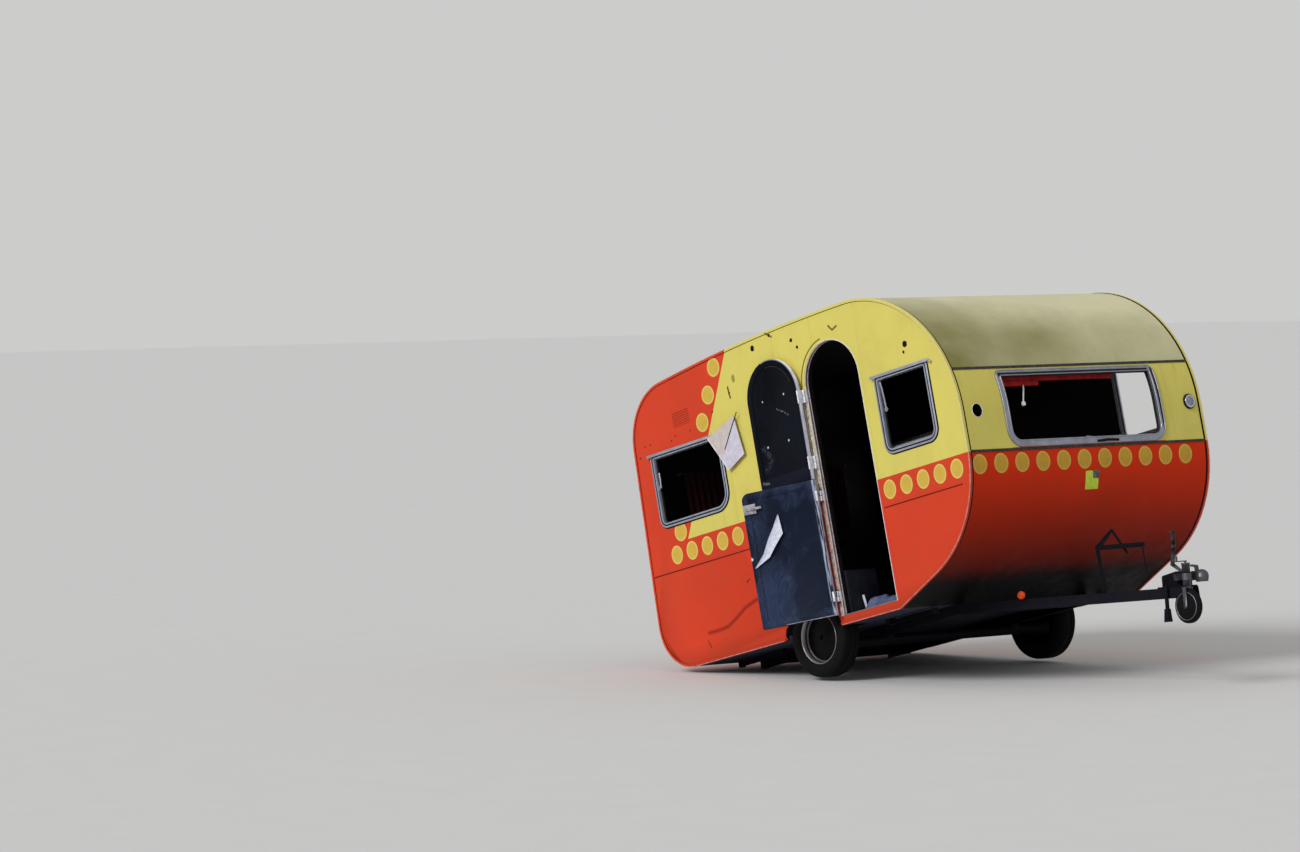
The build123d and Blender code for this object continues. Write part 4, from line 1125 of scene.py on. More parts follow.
# Key, name, two colours, roughness, fineness of the grain and dirt
PLAINS = (
    # Black rubber, made darker still as painted shade.
    ("rubber", "Tyre rubber", (10, 10, 12), (18, 18, 20), 0.75, 60, 0.2),
    ("gasket", "Window rubber", (13, 13, 15), (24, 23, 24), 0.7, 80, 0.15),
    ("seam", "Seam filler", (74, 72, 66), (46, 45, 43), 0.75, 50, 0.3),
    # Dark red for the waist grooves: painted shade under the strip
    ("groove", "Dirty groove", (104, 30, 22), (78, 22, 18), 0.7, 40, 0.2),
    # A painted shadow line beside the doorway's trim
    ("shadow", "Old sealant", (138, 120, 36), (104, 90, 30), 0.75, 50, 0.3),
    ("board", "Stained board", (20, 21, 28), (33, 34, 43), 0.7, 14, 0.15),
    # Near black for the door frame: painted shade deep in the doorway
    ("lining_dark", "Dark lining", (13, 12, 12), (24, 21, 20), 0.75, 16, 0.1),
    ("floor", "Floor covering", (40, 44, 58), (62, 64, 78), 0.55, 10, 0.3),
    ("jamb_cream", "Cream jamb strip", (222, 214, 202), (184, 174, 164), 0.6, 36, 0.25),
    ("jamb_grey", "Grey jamb strip", (126, 116, 116), (84, 76, 80), 0.6, 36, 0.25),
    ("jamb_mauve", "Mauve jamb strip", (226, 206, 216), (184, 164, 174), 0.6, 36, 0.25),
    ("white", "Chipped white", (242, 242, 248), (204, 202, 210), 0.5, 45, 0.15),
    ("pale_metal", "Pale worn metal", (238, 232, 214), (196, 188, 170), 0.55, 40, 0.3),
    ("red_trim", "Red trim", (158, 22, 24), (112, 12, 16), 0.5, 20, 0.15),
    ("cloth", "Curtain cloth", (62, 20, 26), (40, 13, 18), 0.9, 160, 0.15),
    ("vinyl", "Torn vinyl", (214, 218, 232), (184, 190, 210), 0.55, 60, 0.1),
    ("crumpled", "Crumpled sheet", (66, 74, 106), (96, 102, 130), 0.5, 30, 0.2),
    ("sticker", "Faded sticker", (178, 206, 50), (208, 220, 86), 0.6, 40, 0.15),
    ("orange_lens", "Orange lens", (216, 60, 24), (232, 92, 44), 0.3, 60, 0.1),
    ("red_lens", "Red lens", (120, 12, 12), (150, 20, 16), 0.3, 60, 0.2),
    ("clear_lens", "Milky lens", (158, 162, 184), (104, 108, 134), 0.3, 110, 0.2),
    ("lock", "Worn lock plating", (176, 176, 184), (116, 114, 122), 0.45, 60, 0.3),
    # The grip's paler tone is partly wear and partly painted highlights.
    ("grip", "Black grip", (12, 12, 14), (92, 90, 92), 0.45, 18, 0.1),
)

# Key, name, two colours, body, swirl of the creases, how torn and where its pale border begins
LININGS = (
    ("upper_leaf", "Upper leaf", (6, 8, 14), (14, 17, 27), "upper_door", 0.1, 0.25, (0.10, 0.3)),
    ("lower_leaf", "Lower leaf", (21, 28, 45), (42, 52, 77), "lower_door", 0.35, 0.8, (0.5, 0.7)),
)


def build_materials(settings):
    """Every finish of the caravan, by key."""
    build_grime()
    build_rust()
    build_scratches()
    build_marks()
    build_livery(settings)
    MATERIALS["paint"] = painted("Body paint", settings)
    MATERIALS["wall"] = painted("Wall paint", settings, wall=True)
    MATERIALS["roof"] = painted("Roof paint", settings, roof=True)
    MATERIALS["trim"] = trim_finish("Doorway trim")
    MATERIALS["bead"] = bead_finish("Worn bead")
    MATERIALS["pane"] = pane_finish("Cracked sheet")
    for key, name, colour, *rest in METALS:
        MATERIALS[key] = metal_finish(name, srgb(*colour), *rest)
    for key, name, colour, second, *rest in PLAINS:
        MATERIALS[key] = plain_finish(name, srgb(*colour), srgb(*second), *rest)
    for key, name, colour, second, *rest in LININGS:
        MATERIALS[key] = lining_finish(name, srgb(*colour), srgb(*second), *rest)


# Settings that a user would change


def colour_setting(name, description, *colour):
    """A colour given as it is seen on a screen."""
    return bpy.props.FloatVectorProperty(
        name=name, description=description, subtype="COLOR", size=3, default=srgb(*colour)
    )


def length_setting(name, description, default, least):
    """A length in metres."""
    return bpy.props.FloatProperty(
        name=name, description=description, unit="LENGTH", default=default, min=least
    )


class CaravanSettings(bpy.types.PropertyGroup):
    """Colours and sizes of the caravan's finish."""

    orange: colour_setting("Orange", "Lower paint", 208, 65, 39)
    yellow: colour_setting("Yellow", "Upper paint", 212, 200, 102)
    roof_cream: colour_setting("Roof", "Chalky roof paint", 214, 210, 172)
    roof_stain: colour_setting("Roof stain", "Stained roof paint", 132, 128, 78)
    dot_gold: colour_setting("Dot middle", "Middle of the dots", 206, 173, 74)
    dot_cream: colour_setting("Dot rim", "Rim of the dots", 218, 200, 110)
    dot_diameter: length_setting("Dot diameter", "Width of each painted dot", 0.116, 0.02)
    rivet_spacing: length_setting("Rivet spacing", "Distance between rivets on trims", 0.12, 0.03)
    rivet_radius: length_setting("Rivet radius", "Radius of a rivet's head", 0.0035, 0.001)
    gasket_width: length_setting("Gasket width", "Rubber that shows round a window", 0.008, 0.001)
    tread_depth: length_setting("Tread depth", "Depth of the tyre's grooves", 0.004, 0.0)
    curtain_pleats: bpy.props.IntProperty(
        name="Curtain pleats", description="Folds in each curtain", default=7, min=2
    )


class StageOperator(bpy.types.Operator):
    """Set the floor, the lights and the camera at the photograph's angle"""

    bl_idname = "caravan.stage"
    bl_label = "Stage"

    def execute(self, context):
        context.scene.view_settings.view_transform = "Standard"
        self.floor()
        self.sky(context.scene)
        self.sun()
        self.camera(context.scene)
        return {"FINISHED"}

    def floor(self):
        """A wide pale floor."""
        material, shader, inputs = new_material("Pale floor", Roughness=0.9, Specular_IOR_Level=0.2)
        coordinates = shader.value("ShaderNodeTexCoord", output="Object")
        tone = shader.mix(shader.noise(coordinates, 3, 4), (0.66, 0.66, 0.655), (0.70, 0.70, 0.695))
        shader.give(inputs, Base_Color=tone)
        ground = grid("stage_floor", 8, 8, 400)
        ground.data.materials.append(material)

    def sky(self, scene):
        """Even white light, and a grey that only the camera sees."""
        scene.world = bpy.data.worlds.new("Studio")
        scene.world.use_nodes = True
        scene.world.node_tree.nodes.clear()
        shader = Shader(scene.world.node_tree)
        rays = shader.node("ShaderNodeLightPath").outputs
        seen = shader.calc("MAXIMUM", rays["Is Camera Ray"], rays["Is Transmission Ray"])
        light = shader.value("ShaderNodeBackground", {"Color": (1.0, 1.0, 1.0), "Strength": 0.5})
        backdrop = shader.value("ShaderNodeBackground", {"Color": (0.605, 0.605, 0.60), "Strength": 1.0})
        mixed = shader.value("ShaderNodeMixShader", {0: seen, 1: light, 2: backdrop})
        shader.node("ShaderNodeOutputWorld", {"Surface": mixed})

    def sun(self):
        """A soft key light from the right and ahead."""
        clear_selection()
        bpy.ops.object.light_add(type="SUN", location=(4, -10, 8))
        sun = bpy.context.object
        sun.name = "Key"
        sun.data.energy = 2.0
        sun.data.angle = math.radians(25)
        sun.rotation_mode = "QUATERNION"
        sun.rotation_quaternion = Vector((-0.10, 0.82, -0.50)).to_track_quat("-Z", "Y")

    def camera(self, scene):
        """The photograph's camera, fitted in the cabin's level frame."""
        right = Vector((0.62389, 0.76470, -0.16124))
        down = Vector((-0.21962, -0.02646, -0.97523))
        forward = Vector((-0.75002, 0.64384, 0.15144))
        lens = bpy.data.cameras.new("Camera")
        lens.sensor_width = 36
        lens.lens = 140.64
        lens.shift_y = -0.0346
        lens.clip_end = 500
        camera = bpy.data.objects.new("Camera", lens)
        scene.collection.objects.link(camera)
        place = Matrix((right, -down, -forward)).transposed().to_4x4()
        place.translation = Vector((22.658, -21.409, -2.994))
        camera.matrix_world = LEVEL @ place
        scene.camera = camera


# The groove under the waist strip runs from x to x, on the right in front of and behind the door
GROOVE_HEIGHT = 0.6052
GROOVES = {"right": ((-1.385, 0.262), (0.802, 1.49)), "left": ((-1.385, 1.49),)}


class ShellOperator(bpy.types.Operator):
    """Paint the cabin's walls, roof, trims and strips"""

    bl_idname = "caravan.shell"
    bl_label = "Cabin shell"

    def execute(self, context):
        skin("paint", "front_lower_panel", "rear_lower_panel", bent=True)
        skin("paint", "front_window_panel", "rear_window_panel", "edge_trims", bent=True)
        skin("roof", "roof_panel", bent=True)
        skin("seam", "seam_strips", bent=True)
        skin("wall", "side_wall_right", "side_wall_left")
        skin("paint", "waist_strips")
        skin("floor", "floor_panel")
        self.beads()
        self.rivets(context.scene.caravan)
        return {"FINISHED"}

    def beads(self):
        """The bead round each side wall, the seals over its edge, and dark rods in the grooves at the waist
        as painted shade under the strip.
        """
        seals, grooves = [], []
        for side, name in ((-1, "right"), (1, "left")):
            edge, outer, low = (side * (HALF_WIDTH + out) for out in (0.002, 0.0008, 0.0026))
            bead = rod(f"edge_bead_{name}", [(p.x, edge, p.y) for p in edge_run(-0.0005)], 0.0034)
            fit(bead, "bead")
            over = [p for p in edge_run(0.0152) if p.y > 0.78 and p.x > -0.95]
            seals.append(rod("seal", [(p.x, outer, p.y) for p in over], 0.0018))
            for ends in GROOVES[name]:
                grooves.append(rod("groove", [(x, low, GROOVE_HEIGHT) for x in ends], 0.0026))
        fit(joined("edge_seals", seals), "gasket")
        # The dark red rods in the grooves under the waist strip are painted shade.
        fit(joined("belt_grooves", grooves), "groove")

    def rivets(self, settings):
        """Rivet heads along both edge trims."""
        clear_selection()
        bpy.ops.mesh.primitive_uv_sphere_add(segments=8, ring_count=6, radius=settings.rivet_radius)
        rivet = named("rivet")
        rivet.scale = (1, 0.6, 1)
        apply_place(rivet)
        places = []
        for side in (-1, 1):
            run = edge_run(0.009, settings.rivet_spacing)
            places += [Matrix.Translation((p.x, side * (HALF_WIDTH + 0.005), p.y)) for p in run]
        fit(copies(rivet, "trim_rivets", places), "paint")


# Steps of the pressed rings, each a width inwards and a height towards the outside
FRAME_STEPS = (
    (0.0005, 0.0055),
    (0.0060, 0.0022),
    (0.0040, 0.0),
    (0.0012, -0.0050),
    (0.0075, 0.0),
    (0.0012, 0.0040),
    (0.0085, 0.0),
    (0.0045, -0.0100),
    (0.0005, -0.0220),
)
SEAL_STEPS = ((0.0005, 0.0015), (0.0020, 0.0005), (0.0040, 0.0), (0.0005, -0.0020))
RUBBER_STEPS = ((0.001, 0.003), (0.003, 0.001), (0.006, 0.0), (0.001, -0.004))
TRIM_STEPS = ((0.002, 0.004), (0.020, 0.0), (0.002, -0.004))
SEAL_INSET = 0.0122
# The broken stay inside the front side window, as points from its pivot to its catch
LATCH = ((0.934, -0.990, 1.338), (0.946, -0.994, 1.288), (0.953, -0.996, 1.228), (0.957, -0.996, 1.168))
# What is left of the stay inside the rear side window
LATCH_REAR = ((-1.181, -0.994, 1.232), (-1.177, -0.996, 1.185), (-1.181, -0.996, 1.136))
LATCH_CATCH = ((-1.184, -0.996, 1.150), (-1.206, -0.996, 1.122))
# The bar bent off the front window's sill, and a dark rod for the painted shade in the gap under it, as
# points (y, z)
BROKEN_BAR = ((-0.02, 0.834), (0.044, 0.826), (0.085, 0.802), (0.245, 0.812), (0.262, 0.832))
BAR_GAP = ((0.062, 0.802), (0.150, 0.809), (0.238, 0.806))
# Both curtains' ends along the wire, and a number that makes their folds differ
CURTAINS = (("right", -0.672, -0.290, 8), ("left", 0.430, 0.672, 3))
CURTAIN_TOP, CURTAIN_DROP = 1.252, 0.50


class WindowsOperator(bpy.types.Operator):
    """Press the window frames, their rubbers and drip rails"""

    bl_idname = "caravan.windows"
    bl_label = "Windows"

    def execute(self, context):
        settings = context.scene.caravan
        self.side_frames("right", settings.gasket_width)
        self.side_frames("left", settings.gasket_width)
        self.side_fittings()
        self.end_frames()
        self.front_fittings()
        self.curtains(settings.curtain_pleats)
        return {"FINISHED"}

    def side_frames(self, name, wide):
        """One side's pressed window rings with their drip rails, and the rubbers round and in them."""
        rings, rubbers = [], []
        for box, radii in SIDE_WINDOWS:
            low_x, high_x, low_z, high_z = box
            rear, fore = low_x - 0.016, high_x + 0.020
            end = block("end", (-0.014, -0.019, -0.005), (0.024, -0.001, 0.005), 0.003)
            corner = Matrix.Translation((high_x + 0.026, 0, high_z - 0.010))
            rings += [
                stepped_ring("ring", box, radii, FRAME_STEPS),
                block("rail", (rear, -0.020, high_z - 0.012), (fore, -0.001, high_z + 0.002), 0.003),
                block("lip", (rear, -0.021, high_z - 0.016), (fore, -0.017, high_z - 0.006), 0.0015),
                placed(end, corner @ rotation(38, "Y")),
            ]
            grown = (low_x - 0.003, high_x + wide, low_z - wide, high_z + 0.002)
            rubbers.append(stepped_ring("rubber", grown, [radius + wide for radius in radii], RUBBER_STEPS))
            tight = [radius - SEAL_INSET for radius in radii]
            seal = stepped_ring("seal", shrunk(box, SEAL_INSET), tight, SEAL_STEPS)
            rubbers.append(placed(seal, Matrix.Translation((0, -0.0030, 0))))
        whole = joined(f"window_rings_{name}", rings)
        for piece, key in ((whole, "aluminium"), (joined(f"window_rubbers_{name}", rubbers), "gasket")):
            placed(piece, Matrix.Translation((0, -HALF_WIDTH, 0)))
            if name == "left":
                piece.scale = (1, -1, 1)
                apply_place(piece)
                tidy_mesh(piece)
            fit(piece, key)
        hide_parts(f"window_frames_{name}")

    def side_fittings(self):
        """The broken stays in the right windows and the trims inside the left ones."""
        knob = turned("knob", [(0.004, -0.004), (0.014, -0.003), (0.014, 0.003), (0.004, 0.004)], 20)
        placed(knob, Matrix.Translation(LATCH[-1]) @ rotation(90, "X"))
        fit(joined("window_latch", [rod("arm", LATCH, 0.0065), knob]), "edging")
        arm = rod("arm", LATCH_REAR, 0.0060)
        catch = rod("catch", LATCH_CATCH, 0.0080)
        fit(joined("window_latch_rear", [arm, catch]), "edging")
        trims = [stepped_ring("trim", shrunk(box, 0.010), radii, TRIM_STEPS) for box, radii in SIDE_WINDOWS]
        trim = joined("window_inner_trims_left", trims)
        fit(placed(trim, Matrix.Translation((0, HALF_WIDTH - WALL, 0))), "edging")

    def end_frames(self):
        """The end windows' frames, each with a bead along both its edges."""
        skin("end_frame", "window_frames_end", bent=True)
        for way, name in ((1, "front"), (-1, "rear")):
            beads = []
            for inset in (0.004, 0.036):
                run = [(reach_at(z, way, 0.008), y, z) for y, z in end_window_run(inset)]
                beads.append(rod("bead", run, 0.0036, closed=True))
            fit(joined(f"end_window_beads_{name}", beads), "edging")

    def front_fittings(self):
        """The front window's broken bar, its red pelmet and the hook that hangs from it."""
        bar = [(reach_at(z, 1, 0.004), y, z) for y, z in BROKEN_BAR]
        fit(rod("window_broken_bar", bar, 0.006), "edging")
        # A dark rubber rod stands for the shade in the gap under the bar.
        gap = [(reach_at(z, 1, 0.0075), y, z) for y, z in BAR_GAP]
        fit(rod("window_bar_gap", gap, 0.0085), "gasket")
        back = reach_at(1.26, 1, -WALL)
        pelmet = block("window_pelmet", (back - 0.020, -0.600, 1.196), (back - 0.004, 0.350, 1.262), 0.004)
        lip = block("lip", (back - 0.024, -0.600, 1.168), (back - 0.001, -0.270, 1.204), 0.004)
        fit(joined("window_pelmet", [pelmet, lip]), "red_trim")
        run = [(back - 0.008, -0.396, 1.196), (back - 0.002, -0.402, 1.150), (back - 0.004, -0.420, 1.075)]
        profile = [(0.001, -0.016), (0.011, -0.012), (0.014, 0.0), (0.010, 0.011), (0.001, 0.015)]
        hook = rod("hook", run, 0.0045)
        knob = placed(turned("knob", profile, 16), Matrix.Translation((back - 0.004, -0.421, 1.062)))
        fit(joined("window_hook", [hook, knob]), "white")

    def curtains(self, pleats):
        """Gathered curtains at both ends of the rear window, on one wire."""
        wire_x = reach_at(1.24, -1, -WALL) + 0.030
        pieces = [rod("curtain_wire", [(wire_x, -0.70, 1.245), (wire_x, 0.70, 1.245)], 0.0025)]
        for y in (-0.70, 0.70):
            low, high = (wire_x - 0.032, y - 0.008, 1.237), (wire_x + 0.005, y + 0.008, 1.253)
            pieces.append(block("end", low, high))
        wire = fit(joined("curtain_wire", pieces), "seam")
        for name, low, high, fold in CURTAINS:
            piece = grid(f"curtain_{name}", pleats * 10, 24)
            for vertex in piece.data.vertices:
                across, down = vertex.co.x + 0.5, 0.5 - vertex.co.y
                drift = noise.noise(Vector((across * pleats, down * 1.5, fold))) * 0.5
                wave = math.sin(across * pleats * math.tau + drift * 2)
                deep = wire_x + (0.009 + 0.007 * down) * wave + 0.004 * drift
                inward = 0.012 * math.sin(down * math.pi) * (0.5 - across)
                along = low + (high - low) * across + inward
                vertex.co = (deep, along, CURTAIN_TOP - CURTAIN_DROP * down)
            fit(piece, "cloth", angle=180)


# Strips round the doorway's depth, from the outside in: colour, y and radius
JAMB_STRIPS = (("cream", -0.9955, 0.0042), ("grey", -0.9860, 0.0042), ("mauve", -0.9765, 0.0044))
# Bodies of the leaves, with the heights of their hinges and how tall these are
HINGES = (("upper_door", (0.992, 1.398), 0.078), ("lower_door", (0.170, 0.785), 0.060))
SCREW = ((0.0048, -0.001), (0.0046, 0.0012), (0.0030, 0.0022), (0.0004, 0.0026))
# The torn blade on the lower leaf, closed: points (x, z) down its middle and half widths there
FLAP_MIDDLE = ((0.557, 0.724), (0.570, 0.625), (0.618, 0.560), (0.665, 0.490), (0.752, 0.428))
FLAP_HALVES = (0.002, 0.036, 0.030, 0.022, 0.003)


class DoorOperator(bpy.types.Operator):
    """Dress both door leaves, the doorway and the lock"""

    bl_idname = "caravan.door"
    bl_label = "Door"

    def execute(self, context):
        skin("upper_leaf", "door_upper", soften=0.002)
        skin("lower_leaf", "door_lower", soften=0.003)
        # The door frame gets a near-black finish: painted shade deep in the doorway.
        skin("lining_dark", "door_frame")
        skin("trim", "door_trim")
        skin("lock", "door_lock", soften=0.0015)
        self.doorway()
        self.hinge_plates()
        inside = -HALF_WIDTH + 0.0230
        light = [(x, inside - 0.0005, z) for x, z in door_run(0.050, arc_steps=28)[4:17]]
        fit(rod("door_upper_highlight", light, 0.0014), "seam", "upper_door", opened("upper_door"))
        foot = [(x, inside - 0.0010, 0.0590) for x in (0.300, 0.460, 0.620)]
        fit(rod("door_lower_foot", foot, 0.0026), "lock", "lower_door", opened("lower_door"))
        self.flap()
        return {"FINISHED"}

    def doorway(self):
        """Strips down the jamb, the worn edge, a painted shadow line beside the arch's trim, a bare strip,
        a gap and the threshold.
        """
        for name, y, radius in JAMB_STRIPS:
            run = [(x, y, z) for x, z in door_run(0.0, DOOR_LOW + 0.004)]
            fit(rod(f"jamb_strip_{name}", run, radius), f"jamb_{name}")
        edge = [(x, -HALF_WIDTH - 0.0015, z) for x, z in door_run(-0.0012)][9:]
        fit(rod("doorway_edge", edge, 0.0022), "white")
        # A dark olive rod beside the arch's trim is a painted shadow line.
        trim_shadow = [(x, -HALF_WIDTH - 0.001, z) for x, z in door_run(-0.0235, 1.36)][:11]
        fit(rod("doorway_sealant", trim_shadow, 0.0046), "shadow")
        low, high = (0.2310, -HALF_WIDTH - 0.0036, 0.780), (0.2615, -HALF_WIDTH - 0.0005, 1.415)
        fit(block("doorway_hinge_strip", low, high, 0.001), "pale_metal")
        gap = [(DOOR_REAR - 0.0245, -HALF_WIDTH - 0.0005, z) for z in (0.06, 1.42)]
        fit(rod("jamb_gap", gap, 0.0024), "gasket")
        low = (DOOR_REAR + 0.002, -HALF_WIDTH - 0.003, DOOR_LOW)
        high = (DOOR_FRONT - 0.002, -0.973, DOOR_LOW + 0.0042)
        fit(block("door_threshold", low, high, 0.001), "edging")

    def hinge_plates(self):
        """Worn plates over the hinges, on the wall and on the leaves' edges."""
        plates, leaf_plates = [], {"upper_door": [], "lower_door": []}
        for body, heights, tall in HINGES:
            for height in heights:
                low, high = height - tall / 2, height + tall / 2
                plates.append(block("plate", (0.222, -1.0062, low), (0.2875, -1.0005, high), 0.0015))
                plates.append(block("plate", (0.2862, -1.0050, low), (0.2906, -0.9750, high), 0.0012))
                for ends in ((low, height - 0.002), (height + 0.002, high)):
                    pin = [(HINGE.x, HINGE.y, z) for z in ends]
                    plates.append(rod("knuckle", pin, 0.0078, 8))
                for z in (low + 0.014, high - 0.014):
                    place = Matrix.Translation((0.246, -1.0060, z)) @ rotation(90, "X")
                    plates.append(placed(turned("screw", SCREW, 12), place))
                leaf_plates[body] += [
                    block("plate", (0.2926, -1.0120, low), (0.2942, -0.9755, high), 0.0005),
                    block("plate", (0.2930, -0.9775, low), (0.3040, -0.9760, high), 0.0005),
                ]
        fit(joined("hinge_plates", plates), "white")
        for body, pieces in leaf_plates.items():
            fit(joined(f"hinge_plates_{body}", pieces), "white", body, opened(body))

    def flap(self):
        """A torn blade of vinyl that hangs off the lower leaf's inside."""
        piece = grid("door_lower_flap", 4, 16)
        for vertex in piece.data.vertices:
            along = (0.5 - vertex.co.y) * 4
            index = min(int(along), 3)
            part = along - index
            x, z = Vector(FLAP_MIDDLE[index]).lerp(Vector(FLAP_MIDDLE[index + 1]), part)
            half = FLAP_HALVES[index] + (FLAP_HALVES[index + 1] - FLAP_HALVES[index]) * part
            across = vertex.co.x * 2
            lift = 0.004 + 0.016 * math.sin(math.pi * along / 4) + 0.008 * across * across
            vertex.co = (x + across * half * 0.8, -HALF_WIDTH + 0.019 + lift, z + across * half * 0.6)
        fit(piece, "vinyl", "lower_door", opened("lower_door"), angle=180)


# Turned sections, as points (radius, height): half a tyre's side wall, a rim's lip and its well
TYRE_RADIUS = 0.240
TYRE_SIDE = (
    (0.1563, 0.056),
    (0.162, 0.0615),
    (0.180, 0.0705),
    (0.199, 0.0725),
    (0.216, 0.0700),
    (0.229, 0.0645),
    (0.2365, 0.0570),
)
RIM_LIP = (
    (0.1440, 0.0400),
    (0.1480, 0.0530),
    (0.1520, 0.0580),
    (0.1560, 0.0595),
    (0.1590, 0.0575),
    (0.1580, 0.0530),
    (0.1510, 0.0500),
    (0.1440, 0.0400),
)
RIM_WELL = (
    (0.1500, 0.0500),
    (0.1455, 0.0440),
    (0.1455, 0.0240),
    (0.1380, 0.0200),
    (0.1365, 0.0160),
    (0.1465, 0.0160),
    (0.1500, 0.0500),
)


class WheelsOperator(bpy.types.Operator):
    """Turn the tyres and rims"""

    bl_idname = "caravan.wheels"
    bl_label = "Wheels"

    def execute(self, context):
        profile = self.tyre_profile(context.scene.caravan.tread_depth)
        for side, name in ((-1, "right"), (1, "left")):
            body = f"wheel_{name}"
            centre = LEVEL @ Matrix.Translation((0, side * WHEEL_MIDDLE, AXLE_HEIGHT))
            tyre = turned(f"tyre_{name}_rubber", profile, 96)
            fit(tyre, "rubber", body, centre @ rotation(90, "X"), 40)
            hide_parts(f"tyre_{name}")
            # The rim's disc is painted near black as shade inside the wheel.
            skin("wheel", f"rim_{name}", angle=25)
            outwards = centre @ rotation(-side * 90, "X")
            fit(turned(f"rim_edge_{name}", RIM_LIP, 96), "bright", body, outwards, 40)
            fit(turned(f"rim_well_{name}", RIM_WELL, 96), "dull_steel", body, outwards, 40)
        return {"FINISHED"}

    def tyre_profile(self, depth):
        """A tyre's closed section with its tread's grooves."""
        floor = TYRE_RADIUS - depth
        half = list(TYRE_SIDE)
        for middle, shoulder in ((0.044, 0.2385), (0.022, TYRE_RADIUS), (0.0, TYRE_RADIUS)):
            half += [(shoulder, middle + 0.004), (floor, middle + 0.003)]
            half += [(floor, middle - 0.003), (TYRE_RADIUS, middle - 0.004)]
        profile = half + [(radius, -height) for radius, height in reversed(half)]
        return profile + [profile[0]]


class ChassisOperator(bpy.types.Operator):
    """Finish the chassis, the steadies and the coupling"""

    bl_idname = "caravan.chassis"
    bl_label = "Chassis and coupling"

    def execute(self, context):
        skin("chassis", "chassis_rails", "cross_members", "axle_beam", "steady_brackets")
        for end in ("front", "rear"):
            skin("chassis", f"steady_{end}_right", f"steady_{end}_left")
        skin("chassis", "wheel_tubs", "coupling_housing", "prop_leg", "bottle_bracket")
        skin("dull_steel", "coupling_head", "jockey_clamp", "jockey_tube", "jockey_slider", "jockey_fork")
        skin("grip", "handbrake_lever")
        skin("rubber", "jockey_wheel")
        spin = JOINTS["jockey_wheel_spin"]
        facing = Vector(spin["axis"]).to_track_quat("Z", "Y").to_matrix().to_4x4()
        rims = [
            rod("rim", [(*point, out) for point in circle(0.080, 32)], 0.0020, closed=True)
            for out in (-0.0205, 0.0205)
        ]
        place = Matrix.Translation(spin["pos_m"]) @ facing
        fit(joined("jockey_wheel_rims", rims), "bright", "jockey_wheel", place)
        profile = [(0.023, -0.004), (0.024, 0.001), (0.021, 0.005), (0.012, 0.008), (0.0005, 0.009)]
        place = Matrix.Translation((1.215, -0.418, -0.034)) @ rotation(30, "Z") @ rotation(90, "X")
        fit(placed(turned("drawbar_reflector", profile, 24), place), "orange_lens")
        return {"FINISHED"}


class InsideOperator(bpy.types.Operator):
    """Finish the lockers and benches, and drop a crumpled sheet by the door"""

    bl_idname = "caravan.inside"
    bl_label = "Inside"

    def execute(self, context):
        skin("board", "lockers", "benches", soften=0.0015)
        piece = grid("crumpled_sheet", 40, 28)
        for vertex in piece.data.vertices:
            across, along = vertex.co.x, vertex.co.y
            shape = Vector((across * 5, along * 4, 1.7))
            folds = noise.noise(shape * 0.55) + 0.35 * noise.noise(shape * 1.3)
            middle = max(1 - (across / 0.5) ** 6, 0) * max(1 - (along / 0.5) ** 4, 0)
            height = 0.032 + middle * (0.078 + 0.055 * folds + 0.03 * across)
            vertex.co = (0.550 + across * 0.36 + 0.02 * folds, -0.850 + along * 0.20, height)
        fit(piece, "crumpled", angle=180)
        shard = block("white_shard", (-0.009, -0.003, -0.065), (0.009, 0.003, 0.065), 0.002)
        fit(placed(shard, Matrix.Translation((0.336, -0.850, 0.098)) @ rotation(-10, "Y")), "vinyl")
        return {"FINISHED"}


# The front lamp's turned parts, as points (radius, height)
LAMP_BEZEL = (
    (0.0290, 0.004),
    (0.0295, 0.0140),
    (0.0340, 0.0160),
    (0.0390, 0.0145),
    (0.0410, 0.0100),
    (0.0410, 0.0),
    (0.0290, 0.0),
    (0.0290, 0.004),
)
LAMP_FOOT = (
    (0.0408, 0.012),
    (0.0435, 0.012),
    (0.0465, 0.008),
    (0.0470, 0.0),
    (0.0408, 0.0),
    (0.0408, 0.012),
)
LAMP_LENS = ((0.0292, 0.004), (0.0290, 0.0125), (0.0240, 0.0145), (0.0140, 0.0160), (0.0005, 0.0165))
# The front lamp's place on the nose (y, z)
LAMP_PLACE = (0.900, 1.020)
# The stay on the torn pane and its torn edge, as points
PANE_STAY = ((-0.333, -1.0275, 1.436), (-0.412, -1.0285, 1.340), (-0.494, -1.0275, 1.236))
PANE_TEAR = ((-0.641, -1.0262, 1.336), (-0.566, -1.0266, 1.226), (-0.492, -1.0262, 1.106))


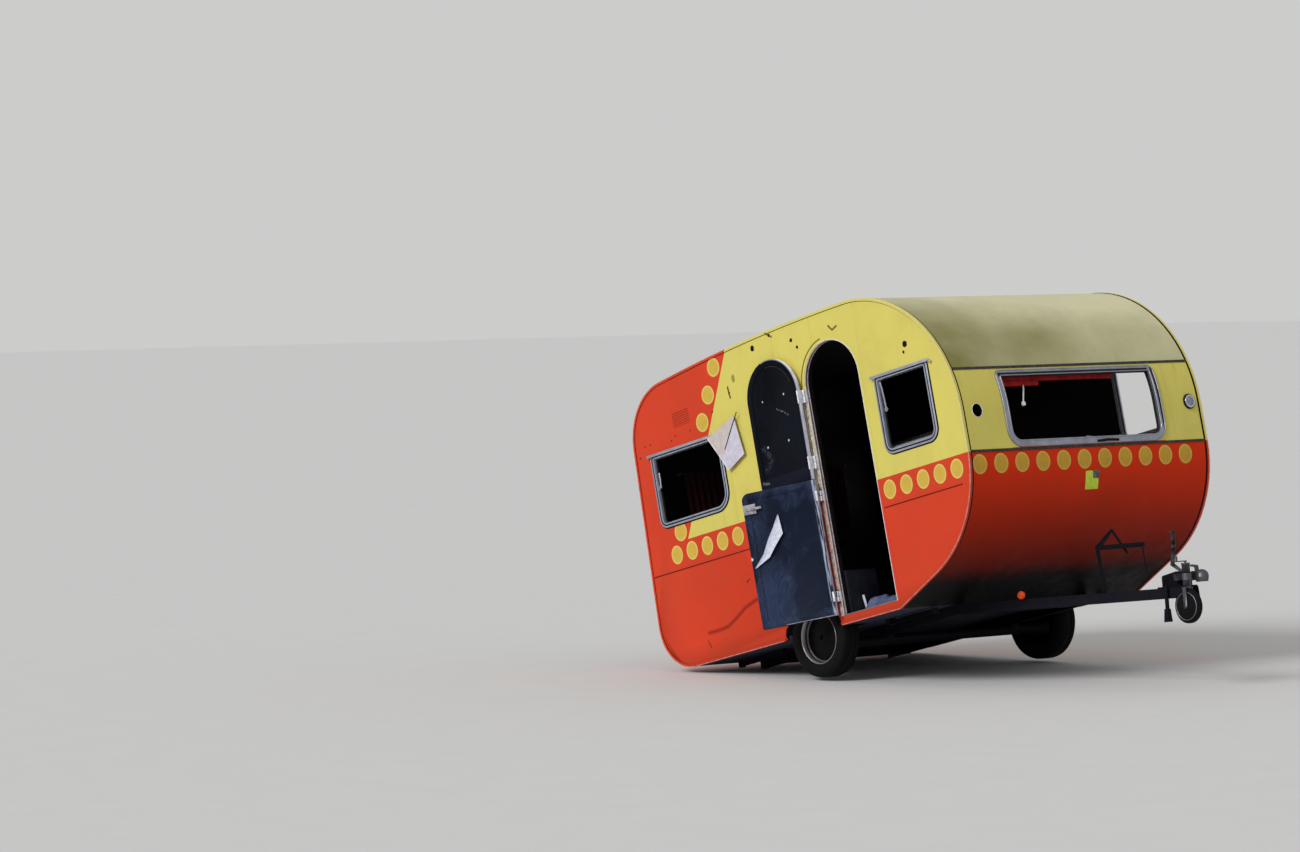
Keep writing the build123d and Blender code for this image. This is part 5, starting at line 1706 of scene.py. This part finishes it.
class FittingsOperator(bpy.types.Operator):
    """Add the lamps, the torn pane and the sticker"""

    bl_idname = "caravan.fittings"
    bl_label = "Fittings"

    def execute(self, context):
        face = reach_at(LAMP_PLACE[1])
        place = LEVEL @ Matrix.Translation((face, *LAMP_PLACE)) @ rotation(90, "Y")
        bezel = fit(turned("lamp_front_bezel", LAMP_BEZEL, 48), "silver", place=place, angle=40)
        fit(turned("lamp_front_foot", LAMP_FOOT, 48), "gasket", place=place, angle=40)
        fit(turned("lamp_front_lens", LAMP_LENS, 48), "clear_lens", place=place)
        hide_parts("lamp_front")
        ring = [(face, LAMP_HOLE[0] + across, LAMP_HOLE[1] + above) for across, above in circle(0.0405, 40)]
        fit(rod("lamp_hole_rim", ring, 0.0015, closed=True), "white")
        skin("red_lens", "lamps_rear")
        skin("pane", "hanging_pane")
        fit(rod("pane_stay", PANE_STAY, 0.0026), "gasket")
        fit(rod("pane_torn_edge", PANE_TEAR, 0.0030), "white")
        self.sticker("front_sticker", "sticker", 0.107, (-0.0015, 0.5785), 0.0008, 1.6)
        self.sticker("front_sticker_torn", "jamb_grey", 0.052, (0.032, 0.612), 0.0018, 9.0)
        return {"FINISHED"}

    def sticker(self, name, key, size, middle, out, taper):
        """A bare patch on the nose about a middle (y, z), with its upper corners torn down."""
        piece = grid(name, 12, 12, size)
        for vertex in piece.data.vertices:
            torn = taper * abs(vertex.co.x + 0.012) if vertex.co.y > 0 else 0
            height = middle[1] + vertex.co.y * (1 - torn)
            vertex.co = (reach_at(height, 1, out), middle[0] + vertex.co.x, height)
        apply_modifier(piece, "SOLIDIFY", thickness=0.0006, offset=0)
        fit(piece, key)


class CaravanPanel(bpy.types.Panel):
    """Shows the caravan's settings and a button for each step"""

    bl_idname = "VIEW3D_PT_caravan"
    bl_label = "Caravan"
    bl_space_type = "VIEW_3D"
    bl_region_type = "UI"
    bl_category = "Caravan"

    def draw(self, context):
        settings = context.scene.caravan
        for key in CaravanSettings.__annotations__:
            self.layout.prop(settings, key)
        for operator in OPERATORS:
            self.layout.operator(operator.bl_idname)


OPERATORS = (
    StageOperator,
    ShellOperator,
    WindowsOperator,
    DoorOperator,
    WheelsOperator,
    ChassisOperator,
    InsideOperator,
    FittingsOperator,
)


def register():
    """Register the settings, the operators and the panel."""
    for item in (CaravanSettings, *OPERATORS, CaravanPanel):
        bpy.utils.register_class(item)
    bpy.types.Scene.caravan = bpy.props.PointerProperty(type=CaravanSettings)


def unregister():
    """Take them out again."""
    del bpy.types.Scene.caravan
    for item in reversed((CaravanSettings, *OPERATORS, CaravanPanel)):
        bpy.utils.unregister_class(item)


def main():
    """Build every piece in order."""
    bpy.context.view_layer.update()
    register()
    build_materials(bpy.context.scene.caravan)
    bpy.ops.caravan.stage()
    bpy.ops.caravan.shell()
    bpy.ops.caravan.windows()
    bpy.ops.caravan.door()
    bpy.ops.caravan.wheels()
    bpy.ops.caravan.chassis()
    bpy.ops.caravan.inside()
    bpy.ops.caravan.fittings()
    clear_selection()


if __name__ == "__main__":
    main()
